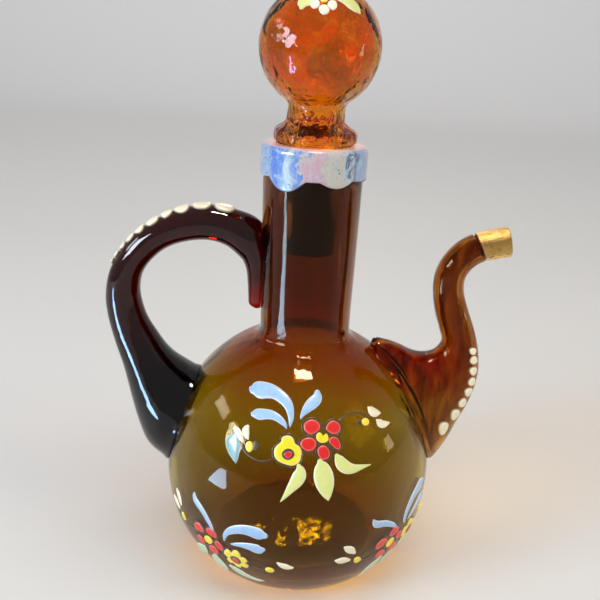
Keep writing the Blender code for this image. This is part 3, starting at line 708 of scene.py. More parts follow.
def spout_glass(colours):
    """Brown amber drawn out in dark and golden streaks, red at the top of its foot."""
    bench = new_bench("brown amber glass")
    place = bench.place()
    x, _, height = bench.parts(place)
    tint = bench.blend(height.between(0.050, 0.066), colours.spout_root, colours.spout)
    foot = height.between(0.054, 0.060) * (1 - height.between(0.066, 0.074))
    blush = foot * (1 - x.between(0.040, 0.050))
    tint = bench.blend(blush * 0.8, tint, (0.50, 0.045, 0.012))
    swirl = bench.cloud(bench.stretch(place, 1.6, 1.0, 0.45), 120.0, 4.0, 0.6, 1.5)
    tint = bench.blend(swirl.between(0.50, 0.72) * 0.55, tint, (0.66, 0.34, 0.03))
    drawn = bench.cloud(bench.stretch(place, 1.0, 1.0, 0.10), 340.0, 2.0)
    tint = bench.blend(drawn.between(0.52, 0.64) * 0.75, tint, (0.11, 0.022, 0.005))
    tint = bench.blend((1 - drawn.between(0.36, 0.46)) * 0.45, tint, (0.74, 0.46, 0.05))
    wave = bench.cloud(place, 110.0, 2.0, 0.4)
    ripple = bench.cloud(bench.stretch(place, 1.0, 1.0, 0.5), 420.0, 2.0)
    relief = bench.bump(wave + ripple * 0.16, 0.0006, 0.6)
    smear = bench.cloud(place, 160.0, 4.0).between(0.45, 0.8) * 0.05 + 0.012
    return glass(bench, tint, smear, relief, (0.85, 0.35, 0.08), 120.0, (0.72, 0.40, 0.16))


def handle_glass(colours):
    """Glass so deep that only its thin edges let red light through."""
    bench = new_bench("nearly black glass")
    place = bench.place()
    x, _, height = bench.parts(place)
    wave = bench.cloud(place, 120.0, 2.0, 0.4)
    streak = bench.cloud(bench.stretch(place, 1.0, 2.2, 0.6), 240.0, 3.0)
    relief = bench.bump(wave + streak * 0.12, 0.0006, 0.5)
    tint = bench.blend(streak.between(0.45, 0.8) * 0.4, colours.handle, (0.14, 0.02, 0.01))
    tail = x.between(-0.024, -0.020) * (1 - height.between(0.078, 0.088))
    tint = bench.blend(tail, tint, (0.90, 0.05, 0.02))
    dust = bench.cloud(place, 900.0, 3.0).between(0.62, 0.75)
    return glass(
        bench, tint, dust * 0.10 + 0.035, relief, (0.54, 0.03, 0.01), 480.0, (0.22, 0.04, 0.02),
        DARK_SHEEN, 1.52,
    )


def stopper_glass(colours):
    """Bright orange amber, mottled with gold and olive, with wrinkles in its skirt. The skirt is
    painted a lighter gold, partly its own colour and partly painted highlight, and the plug is
    painted nearly black as painted shade.
    """
    bench = new_bench("honey glass")
    place = bench.place()
    height = bench.parts(place)[2]
    swirl = bench.cloud(place, 120.0, 4.0, 0.6, 2.0)
    tint = bench.blend(swirl.between(0.50, 0.68) * 0.8, colours.stopper, (1.0, 0.66, 0.05))
    olive = bench.cloud(bench.stretch(place, 1.0, 1.0, 1.4), 62.0, 4.0, 0.65, 1.0)
    tint = bench.blend(olive.between(0.48, 0.62) * 0.8, tint, (0.52, 0.33, 0.03))
    skirt = 1 - height.between(0.134, 0.142)
    # The skirt is painted a lighter gold: partly the glass's own colour, partly painted highlight
    # standing in for lamps glinting in its wrinkles
    tint = bench.blend(skirt * 0.85, tint, (1.0, 0.62, 0.09))
    # The plug, down inside the neck, is painted nearly black: painted shade
    plug = 1 - height.between(0.117, 0.124)
    tint = bench.blend(plug * 0.94, tint, (0.13, 0.022, 0.004))
    wave = bench.cloud(place, 95.0, 3.0, 0.5)
    crease = bench.cloud(bench.stretch(place, 1.0, 1.0, 0.45), 250.0, 2.0, 0.5, 1.2)
    relief = bench.bump(wave * 1.5 + crease * (skirt * 0.9 + 0.10), 0.0012, 0.8)
    smear = bench.cloud(place, 210.0, 4.0).between(0.5, 0.8) * 0.04 + 0.015
    return glass(
        bench, tint, smear, relief, (0.92, 0.52, 0.05), 130.0, (0.92, 0.60, 0.22), HONEY_SHEEN
    )


def rim_finish(colours):
    """Enamel run together from blue, pink and cream, with cobalt specks."""
    bench = new_bench("marbled rim enamel")
    place = bench.place()
    x, y, height = bench.parts(place)
    drift = bench.cloud(place, 130.0, 3.0, 0.55, 1.2)
    bearing = y.maths("ARCTAN2", y, x)
    turn = (bearing + (drift - 0.5) * 1.1) / math.tau + 0.5
    cobalt, sky, rose, bone = colours.cobalt, colours.sky, colours.rose, colours.bone
    ice, slate = (0.42, 0.55, 0.62), (0.10, 0.13, 0.24)
    stops = (
        (0.000, bone), (0.035, sky), (0.100, sky), (0.116, cobalt), (0.154, cobalt),
        (0.170, ice), (0.186, ice), (0.200, sky), (0.222, cobalt), (0.228, bone),
        (0.244, rose), (0.268, rose), (0.285, bone), (0.330, bone), (0.362, ice),
        (0.374, slate), (0.382, slate), (0.392, sky), (0.440, sky), (0.500, rose),
        (0.545, sky), (0.590, cobalt), (0.640, ice), (0.700, bone), (0.760, rose),
        (0.800, bone), (0.850, sky), (0.890, cobalt), (0.930, ice), (1.000, bone),
    )
    tint = bench.node("ValToRGB", {"stops": stops}, {"Fac": turn})
    brushed = bench.cloud(bench.stretch(place, 1.0, 1.0, 0.30), 620.0, 4.0, 0.6, 0.8)
    tint = bench.blend(brushed.between(0.50, 0.75) * 0.35, tint, (0.60, 0.65, 0.72))
    veins = bench.cloud(bench.stretch(place, 1.0, 1.0, 0.6), 330.0, 3.0, 0.65, 2.2)
    tint = bench.blend(veins.between(0.58, 0.68) * 0.50, tint, (0.14, 0.28, 0.70))
    tint = bench.blend((1 - veins.between(0.30, 0.40)) * 0.40, tint, (0.66, 0.40, 0.45))
    pools = bench.cloud(place, 240.0, 4.0, 0.7, 2.5)
    tint = bench.blend(pools.between(0.55, 0.64) * 0.6, tint, ice)
    upper = height.between(0.1238, 0.1250)
    spots = 1 - bench.cells(place, 800.0).between(0.13, 0.21)
    patch = bench.cloud(place, 160.0, 2.0).between(0.47, 0.57).at_least(upper * 0.8)
    tint = bench.blend(spots * patch * 0.9, tint, (0.02, 0.035, 0.22))
    top = height.between(0.12565, 0.12605)
    tint = bench.blend(top * 0.75, tint, (0.56, 0.55, 0.56))
    relief = bench.bump(brushed + veins * 0.6, 0.00018, 0.6)
    return fired(bench, tint, brushed * 0.12 + 0.16, relief, 0.6)


def paint(name, colour, deep, edge_highlight):
    """Fired enamel brushed on by hand, streaked along its middle, with its edges painted paler as
    painted highlight.
    """
    bench = new_bench(name)
    place = bench.place()
    edge = bench.attribute("edge")
    brushed = bench.cloud(place, 700.0, 4.0, 0.6, 0.5)
    mottle = bench.cloud(place, 260.0, 3.0)
    thick = brushed.between(0.42, 0.70) * 0.35 + mottle.between(0.5, 0.75) * 0.25
    tint = bench.blend(thick, colour, deep)
    # Each stroke's edges are painted paler: painted highlight along the relief's edges
    pale = tuple(min(c * 0.45 + 0.50, 1.0) for c in colour)
    tint = bench.blend(edge.between(0.72, 0.97) * (1.1 * edge_highlight), tint, pale)
    pits = 1 - bench.cells(place, 1500.0).between(0.06, 0.14)
    dark = tuple(c * 0.35 for c in deep)
    tint = bench.blend(pits * mottle.between(0.55, 0.65) * 0.5, tint, dark)
    relief = bench.bump(brushed - pits * 0.5, 0.00010, 0.6)
    return fired(bench, tint, brushed * 0.15 + 0.22, relief, 0.35)


def dot_finish(colours):
    """Cream dots, darker in the middle over their pinprick crater, with a dark ring at the foot."""
    bench = new_bench("cream dot enamel")
    edge = bench.attribute("edge")
    grain = bench.cloud(bench.place(), 1100.0, 4.0)
    tint = bench.blend(grain.between(0.4, 0.7) * 0.4, colours.cream, (0.70, 0.60, 0.42))
    # The dark ring at each dot's foot is painted shade where the dot meets the glass, and partly
    # the dark glass showing through the thin enamel there
    tint = bench.blend(edge.between(0.86, 1.0) * 0.85, tint, (0.10, 0.06, 0.03))
    tint = bench.blend((1 - edge.between(0.03, 0.16)) * 0.35, tint, (0.60, 0.52, 0.36))
    relief = bench.bump(grain, 0.00008, 0.5)
    return fired(bench, tint, grain * 0.15 + 0.26, relief, 0.25)


def gilding_finish(colours):
    """Gold brushed on in streaks, worn through along a torn line and at its edge."""
    bench = new_bench("brushed gilding")
    along, around = bench.attribute("along"), bench.attribute("around")
    lines = bench.node("CombineXYZ", inputs={0: along * 3.0, 1: around * 40.0, 2: 0.0})
    streaks = bench.cloud(lines, 1.0, 4.0, 0.65, 0.4)
    blots = bench.cloud(bench.place(), 420.0, 4.0, 0.6, 1.0)
    gold = bench.blend(streaks.between(0.40, 0.68), colours.gold, (0.98, 0.76, 0.36))
    gold = bench.blend(blots.between(0.50, 0.70) * 0.85, gold, (0.36, 0.17, 0.03))
    gold = bench.blend(around.between(0.30, 0.36) * 0.7, gold, (0.32, 0.16, 0.035))
    relief = bench.bump(streaks + blots * 0.6, 0.00022, 0.7)
    metal = bench.shader(
        Base_Color=gold, Metallic=1.0, Roughness=streaks * 0.22 + 0.20, Normal=relief
    )
    bare = bench.shader(
        Base_Color=(0.10, 0.035, 0.012, 1.0), Roughness=0.12, Coat_Weight=0.5, Normal=relief
    )
    tear = around + (blots - 0.5) * 0.10 + (streaks - 0.5) * 0.04
    torn = tear.between(0.285, 0.30) * (1 - tear.between(0.312, 0.33))
    ragged = 1 - (along + (streaks - 0.5) * 0.10).between(0.045, 0.07)
    missing = (torn * blots.between(0.40, 0.52)).at_least(ragged)
    return bench.finish(bench.node("MixShader", inputs={0: missing, 1: metal, 2: bare}))


def stage_finish(colours):
    """A pale mottled floor that grows lighter towards the back."""
    bench = new_bench("pale studio floor")
    place = bench.place()
    pale = tuple(colours.floor)
    tint = bench.blend(bench.cloud(place, 6.0, 4.0) * 0.25, pale, tuple(c * 0.96 for c in pale))
    far = bench.parts(place)[1].between(0.35, 1.55)
    tint = bench.blend(far, tint, (0.96, 0.95, 0.94))
    relief = bench.bump(bench.cloud(place, 240.0, 3.0), 0.0002, 0.3)
    return bench.finish(bench.shader(Base_Color=tint, Roughness=0.62, Normal=relief))


# Shapes


def piece(name, points, faces, materials, attributes=None, sharp=48):
    """A mesh object in the cruet's frame, facing outward."""
    mesh = bpy.data.meshes.new(name)
    mesh.from_pydata([tuple(p) for p in points], [], faces)
    for key, values in (attributes or {}).items():
        layer = mesh.attributes.new(key, "FLOAT", "POINT")
        layer.data.foreach_set("value", values)
    shape = bmesh.new()
    shape.from_mesh(mesh)
    bmesh.ops.recalc_face_normals(shape, faces=shape.faces)
    shape.to_mesh(mesh)
    shape.free()
    mesh.shade_smooth()
    mesh.set_sharp_from_angle(angle=math.radians(sharp))
    for material in materials:
        mesh.materials.append(material)
    return placed(name, mesh)


def placed(name, data):
    obj = bpy.data.objects.new(name, data)
    bpy.context.scene.collection.objects.link(obj)
    return obj


def ring_faces(first, second, count):
    return [
        (first + i, first + (i + 1) % count, second + (i + 1) % count, second + i)
        for i in range(count)
    ]


def loft_faces(start, rings, count, loop=False):
    """Faces over rings of points, joined in a loop or capped at both ends."""
    faces = []
    for k in range(rings if loop else rings - 1):
        faces += ring_faces(start + k * count, start + (k + 1) % rings * count, count)
    if not loop:
        last = start + (rings - 1) * count
        faces += [tuple(range(start, start + count)), tuple(range(last, last + count))]
    return faces


def lofted(rings, loop=False):
    return [p for ring in rings for p in ring], loft_faces(0, len(rings), len(rings[0]), loop)


def turned(profile, segments, ripple):
    """A profile of (radius, height) turned about Z, from one point on the axis to another."""
    points, faces, starts = [], [], []
    for radius, height in profile:
        starts.append(len(points))
        if radius == 0:
            points.append(Vector((0, 0, height)))
            continue
        for i in range(segments):
            angle = math.tau * i / segments
            grown = radius + ripple(radius, height, angle)
            points.append(Vector((grown * math.cos(angle), grown * math.sin(angle), height)))
    for k in range(len(profile) - 1):
        a, b = starts[k], starts[k + 1]
        if profile[k][0] == 0 or profile[k + 1][0] == 0:
            pole, ring = (a, b) if profile[k][0] == 0 else (b, a)
            faces += [(pole, ring + i, ring + (i + 1) % segments) for i in range(segments)]
        else:
            faces += ring_faces(a, b, segments)
    return points, faces


def bezier(start, control, end, steps):
    points = []
    for i in range(steps + 1):
        t = i / steps
        shares = (1 - t) ** 2, 2 * t * (1 - t), t**2
        rows = zip(start, control, end)
        points.append(tuple(sum(f * v for f, v in zip(shares, row)) for row in rows))
    return points


def smooth_at(rows, t, closed=False):
    """The point at t, counted in rows, on a smooth curve through all the rows."""
    last = len(rows) - 1
    i = int(t) % len(rows) if closed else min(int(t), last - 1)
    f = t - int(t) if closed else t - i
    if closed:
        p = [rows[(i + k) % len(rows)] for k in (-1, 0, 1, 2)]
    else:
        p = [rows[min(max(i + k, 0), last)] for k in (-1, 0, 1, 2)]
    return [
        b + f * ((c - a) / 2 + f * (a - b * 5 / 2 + 2 * c - d / 2 + f * (3 * (b - c) + d - a) / 2))
        for a, b, c, d in zip(*p)
    ]


def value_at(rows, key, missing):
    """The value at a key, read off a line through rows of (value, key)."""
    for (v0, k0), (v1, k1) in zip(rows, rows[1:]):
        if k0 <= key <= k1 and k1 > k0:
            return v0 + (v1 - v0) * (key - k0) / (k1 - k0)
    return missing


class Form:
    """The bottle's profile at one fineness."""

    def __init__(self, sizes, steps):
        self.sizes = sizes
        self.bulb_steps, self.fillet_steps, self.round_steps = steps
        self.mouth = NECK_TOP_RADIUS - RIM_THICKNESS
        self.profile = self.outside()
        self.skin = self.profile[1:]

    def shoulder_height(self, radius, belly, rise):
        share = min(radius / belly, 1)
        return BELLY_HEIGHT + rise * (1 - share**SHOULDER_POWER) ** (1 / SHOULDER_POWER)

    def arc(self, belly, rise, power, first, last):
        """The bulb's outline between two angles from the belly, downward for a negative rise."""
        points = []
        for i in range(self.bulb_steps + 1):
            angle = first + (last - first) * (i / self.bulb_steps)
            radius = belly * max(math.cos(angle), 0) ** (2 / power)
            points.append((radius, BELLY_HEIGHT + rise * math.sin(angle) ** (2 / power)))
        return points

    def shoulder(self, belly, rise, top_radius):
        end = math.acos((top_radius / belly) ** (SHOULDER_POWER / 2))
        return self.arc(belly, rise, SHOULDER_POWER, 0, end)

    def bowl(self, belly, depth, power, start_height):
        start = math.asin(min((BELLY_HEIGHT - start_height) / depth, 1) ** (power / 2))
        return self.arc(belly, -depth, power, start, 0)

    def neck_blend(self, tube, belly, rise):
        start_radius = tube + NECK_FILLET
        start = (start_radius, self.shoulder_height(start_radius, belly, rise))
        nudge = NECK_FILLET / 10
        slope = (self.shoulder_height(start_radius - nudge, belly, rise) - start[1]) / nudge
        control = (tube, start[1] + slope * NECK_FILLET)
        return bezier(start, control, (tube, control[1] + NECK_FILLET), self.fillet_steps)

    def outside(self):
        """From the middle of the base to the rim's outer edge."""
        belly, top = self.sizes.bulb_radius, self.sizes.rim_height
        depth = BELLY_HEIGHT / (1 - (BASE_RADIUS / belly) ** FOOT_POWER) ** (1 / FOOT_POWER)
        wall = self.bowl(belly, depth, FOOT_POWER, FOOT_ROUND)
        foot = bezier((BASE_RADIUS - FOOT_ROUND, 0), (BASE_RADIUS, 0), wall[0], self.round_steps)
        shoulder = self.shoulder(belly, SHOULDER_RISE, NECK_RADIUS + NECK_FILLET)
        blend = self.neck_blend(NECK_RADIUS, belly, SHOULDER_RISE)
        low, high = blend[-1], (NECK_TOP_RADIUS, top - RIM_ROUND)
        steps = self.fillet_steps // 2
        neck = [tuple(a + (b - a) * k / steps for a, b in zip(low, high)) for k in range(1, steps)]
        edge = (NECK_TOP_RADIUS - RIM_ROUND, top)
        rim = bezier(high, (NECK_TOP_RADIUS, top), edge, self.round_steps)
        return [(0, 0)] + foot[:-1] + wall[:-1] + shoulder[:-1] + blend + neck + rim

    def inside(self):
        """From the rim's inner edge down to the middle of the floor."""
        sizes, top = self.sizes, self.sizes.rim_height
        belly = sizes.bulb_radius - sizes.bulb_wall
        rise = SHOULDER_RISE - sizes.bulb_wall
        bore = NECK_RADIUS - sizes.neck_wall
        top_bore = NECK_TOP_RADIUS - sizes.neck_wall
        blend = self.neck_blend(bore, belly, rise)
        shoulder = self.shoulder(belly, rise, bore + NECK_FILLET)
        bowl = self.bowl(belly, BELLY_HEIGHT - BASE_THICKNESS, FLOOR_POWER, BASE_THICKNESS)
        bowl[0] = (0, BASE_THICKNESS)
        edge, bore_top = (self.mouth + RIM_ROUND, top), (self.mouth, top - RIM_ROUND)
        rim = bezier(edge, (self.mouth, top), bore_top, self.round_steps)
        rim += [
            (self.mouth, top - LIP_LENGTH),
            (top_bore, top - LIP_LENGTH - 2 * (top_bore - self.mouth)),
        ]
        return rim + blend[::-1] + shoulder[-2::-1] + bowl[-2::-1]

    def radius(self, height):
        return value_at(self.skin, height, 0.0)

    def onto_skin(self, point):
        """The point moved level until it lies just off the skin."""
        flat = Vector((point.x, point.y, 0)).normalized() * (self.radius(point.z) + SKIN_GAP)
        return Vector((flat.x, flat.y, point.z))


class Skin:
    """A turned surface unrolled: points of it by millimetres across and up."""

    def __init__(self, profile, middle):
        self.rows = []
        run = 0.0
        for (r0, z0), (r1, z1) in zip(profile, profile[1:]):
            self.rows.append((run, r0, z0))
            run += math.hypot(r1 - r0, z1 - z0)
        self.rows.append((run, *profile[-1]))
        self.zero = value_at([(s, z) for s, _, z in self.rows], middle, 0.0)

    def at(self, bearing, across, up, lift):
        run = self.zero + up * MILLIMETRE
        for (s0, r0, z0), (s1, r1, z1) in zip(self.rows, self.rows[1:]):
            if s0 <= run <= s1:
                break
        share = (run - s0) / (s1 - s0)
        out = Vector((z1 - z0, r0 - r1)).normalized()
        radius, height = r0 + (r1 - r0) * share, z0 + (z1 - z0) * share
        angle = math.radians(bearing) + across * MILLIMETRE / radius
        radius += out.x * lift
        return Vector((radius * math.cos(angle), radius * math.sin(angle), height + out.y * lift))


class Crown:
    """The stopper's ball as a flat map round one point, for what is painted on it."""

    def __init__(self, middle, radius, lean):
        self.middle = middle
        self.radius = radius
        self.lean = math.radians(lean)

    def at(self, bearing, across, up, lift):
        turn = math.radians(bearing)
        flat = math.sin(self.lean)
        out = Vector((math.cos(turn) * flat, math.sin(turn) * flat, math.cos(self.lean)))
        east = Vector((-math.sin(turn), math.cos(turn), 0))
        toward = east * across + out.cross(east) * up
        run = toward.length * MILLIMETRE / self.radius
        out = out * math.cos(run) + toward.normalized() * math.sin(run)
        return Vector((0, 0, self.middle)) + out * (self.radius + lift)


class Limb:
    """A tapering limb in the XZ plane, swept through given stations."""

    def __init__(self, stations, side, tube, root_height, root_width, pinch=0.0):
        self.stations = stations
        self.side = side
        self.tube = tube
        self.root_height = root_height
        self.root_width = root_width
        self.pinch = pinch
        self.end = len(stations) - 1

    def size(self, share, root):
        return self.tube * min(share, 1) + (root - self.tube) * max(share - 1, 0)

    def point(self, t, angle, inset=0.0):
        """The surface at t and at an angle round the section, 0 on the outer side."""
        x, z, tilt, share = smooth_at(self.stations, t)
        outward = Vector((self.side * math.cos(tilt), 0, math.sin(tilt)))
        tall = self.size(share, self.root_height) - inset
        wide = self.size(share, self.root_width) - inset
        wide *= 1 - self.pinch * max(share - 1, 0) * (1 - math.cos(angle)) / 2
        centre = Vector((self.side * x, 0, z))
        return centre + outward * tall * math.cos(angle) + Vector((0, wide, 0)) * math.sin(angle)

    def normal(self, t, angle):
        step, stride = 0.035, 0.05
        around = self.point(t, angle + step) - self.point(t, angle - step)
        ahead, behind = min(t + stride, self.end), max(t - stride, 0)
        along = self.point(ahead, angle) - self.point(behind, angle)
        normal = along.cross(around).normalized()
        centre = (self.point(t, 0) + self.point(t, math.pi)) / 2
        return normal if normal.dot(self.point(t, angle) - centre) > 0 else -normal

    def ring(self, t, count, inset=0.0):
        return [self.point(t, math.tau * i / count, inset) for i in range(count)]

    def rings(self, start, end, steps, count, inset=0.0):
        span = end - start
        return [self.ring(start + span * i / steps, count, inset) for i in range(steps + 1)]

    def from_end(self, distance):
        """The t that lies a distance back from the end, measured along the middle."""
        t, left = float(self.end), distance
        step = t / PATH_STEPS
        while t > step:
            a, b = smooth_at(self.stations, t), smooth_at(self.stations, t - step)
            walked = math.hypot(a[0] - b[0], a[1] - b[1])
            if walked >= left:
                return t - step * left / walked
            left -= walked
            t -= step
        return t

    def leaves(self, form, angle, inset):
        """The t at which one line of the limb comes out of the bottle's skin."""
        def inside(t):
            p = self.point(t, angle, inset)
            return math.hypot(p.x, p.y) < form.radius(p.z) + SKIN_GAP

        t, step, halvings = 0.0, 0.1, 24
        while inside(t) and t < self.end / 2:
            t += step
        low, high = max(t - step, 0.0), t
        for _ in range(halvings):
            middle = (low + high) / 2
            low, high = (middle, high) if inside(middle) else (low, middle)
        return high

    def root_rings(self, form, count, inset, flare):
        """Rings from the bottle's skin to the free limb, spread where the glass was fused."""
        reach, power, crowding = 0.0011, 1.5, 1.6
        starts = [self.leaves(form, math.tau * i / count, inset) for i in range(count)]
        rings = []
        for k in range(ROOT_STEPS + 1):
            share = (k / ROOT_STEPS) ** crowding
            ring = []
            for i, start in enumerate(starts):
                angle = math.tau * i / count
                t = start + (JOIN_STATION - start) * share
                p = self.point(t, angle, inset)
                risen = (p - self.point(start, angle, inset)).length
                spread = flare * math.exp(-((risen / reach) ** power))
                p = p + self.normal(t, angle) * spread
                ring.append(p if k else form.onto_skin(p))
            rings.append(ring)
        return rings


def limb_stations(rows, near, span, rise):
    """A limb's stations in metres, from its rows of shares and degrees."""
    return [
        (near + out * span, BELLY_HEIGHT + up * rise, math.radians(tilt), share)
        for out, up, tilt, share in rows
    ]


def spout_limb(sizes):
    rise = sizes.rim_height - SPOUT_DROP - BELLY_HEIGHT
    stations = limb_stations(SPOUT_STATIONS, sizes.bulb_radius, SPOUT_REACH, rise)
    return Limb(stations, 1, SPOUT_TUBE_RADIUS, SPOUT_ROOT_HEIGHT, SPOUT_ROOT_WIDTH, SPOUT_PINCH)


def handle_limb(sizes):
    rise = sizes.rim_height - HANDLE_DROP - BELLY_HEIGHT
    span = sizes.bulb_radius + HANDLE_REACH - NECK_RADIUS
    stations = limb_stations(HANDLE_STATIONS, NECK_RADIUS, span, rise)
    return Limb(stations, -1, HANDLE_ROD_RADIUS, HANDLE_ROOT_HEIGHT, HANDLE_ROOT_WIDTH)


def ball_arc(radius, middle, first, last, steps):
    """Points on a ball's outline between two angles from its crown."""
    angles = [first + (last - first) * (i / steps) for i in range(steps + 1)]
    return [(radius * math.sin(a), middle + radius * math.cos(a)) for a in angles]


def stopper_outline(sizes):
    """From the ball's crown down to the plug's open end and back up inside, with its middle."""
    mouth = NECK_TOP_RADIUS - RIM_THICKNESS
    seat = sizes.rim_height + 2 * GAP + ENAMEL_THICKNESS
    flange = mouth + SEAT_OVERLAP
    skirt_top = seat + FLANGE_HEIGHT
    stem_top = skirt_top + STEM_LENGTH
    stem_foot = stem_top - STEM_FILLET
    ball, wall = sizes.ball_radius, sizes.stopper_wall
    middle = stem_top + math.sqrt(ball**2 - STEM_RADIUS**2)
    plug_end, plug_root = seat - PLUG_LENGTH, mouth - PLUG_CLEARANCE
    steps, turns = 48, 10
    blend_angle = math.asin((STEM_RADIUS + STEM_FILLET) / ball)
    outside = [(0, middle + ball)] + ball_arc(ball, middle, 0, math.pi - blend_angle, steps)[1:]
    outside += bezier(outside[-1], (STEM_RADIUS, stem_top), (STEM_RADIUS, stem_foot), turns)[1:]
    roll, roll_top = flange - FLANGE_ROLL / 2, seat + 2 * FLANGE_ROLL
    skirt_middle = (STEM_RADIUS, (skirt_top + roll_top) / 2)
    outside += bezier((STEM_RADIUS, skirt_top), skirt_middle, (roll, roll_top), 2 * turns)
    widest = (flange, seat + FLANGE_ROLL)
    outside += bezier(
        (roll, roll_top), (flange, roll_top - FLANGE_ROLL / 4), widest, turns // 2
    )[1:]
    outside += bezier(widest, (flange, seat), (roll, seat), turns)[1:]
    outside += [(plug_root, seat), (plug_root - GAP, seat - GAP)]
    outside += bezier(
        (PLUG_TIP_RADIUS, plug_end + PLUG_END_ROUND),
        (PLUG_TIP_RADIUS, plug_end),
        (PLUG_TIP_RADIUS - wall / 2, plug_end),
        turns,
    )
    inside = [
        (PLUG_TIP_RADIUS - wall, plug_end + wall / 2),
        (plug_root - wall, seat - wall),
        (STEM_RADIUS - wall, skirt_top - wall),
        (STEM_RADIUS - wall, stem_foot),
    ]
    room = ball - wall
    start = math.pi - math.asin((STEM_RADIUS - wall / 2) / room)
    inside += ball_arc(room, middle, start, 0, steps)[:-1] + [(0, middle + room)]
    return outside + inside, middle


def coat_edge(bearing, top):
    """The height at which the rim's enamel ends, with its drips."""
    depth = COAT_DEPTH
    for middle, half_width, share in DRIPS:
        away = abs((bearing - middle + 180) % 360 - 180) / half_width
        if away < 1:
            depth += DRIP_RUN * share * (1 - away**2) ** 1.1
    return top - depth


def dot_path(limb, form, bearing, from_tail):
    """(t, distance) along the free part of a limb, counted from one of its ends."""
    run, longest = [], []
    for i in range(PATH_STEPS + 1):
        t = limb.end * i / PATH_STEPS
        p = limb.point(t, bearing)
        if math.hypot(p.x, p.y) > form.radius(p.z) + GAP:
            run.append((t, p))
            longest = max(longest, run, key=len)
        else:
            run = []
    if from_tail:
        longest = longest[::-1]
    path, walked = [], 0.0
    for i, (t, p) in enumerate(longest):
        walked += (p - longest[max(i - 1, 0)][1]).length
        path.append((t, walked))
    return path


def t_at(path, distance):
    return value_at(path, distance, path[-1][0])


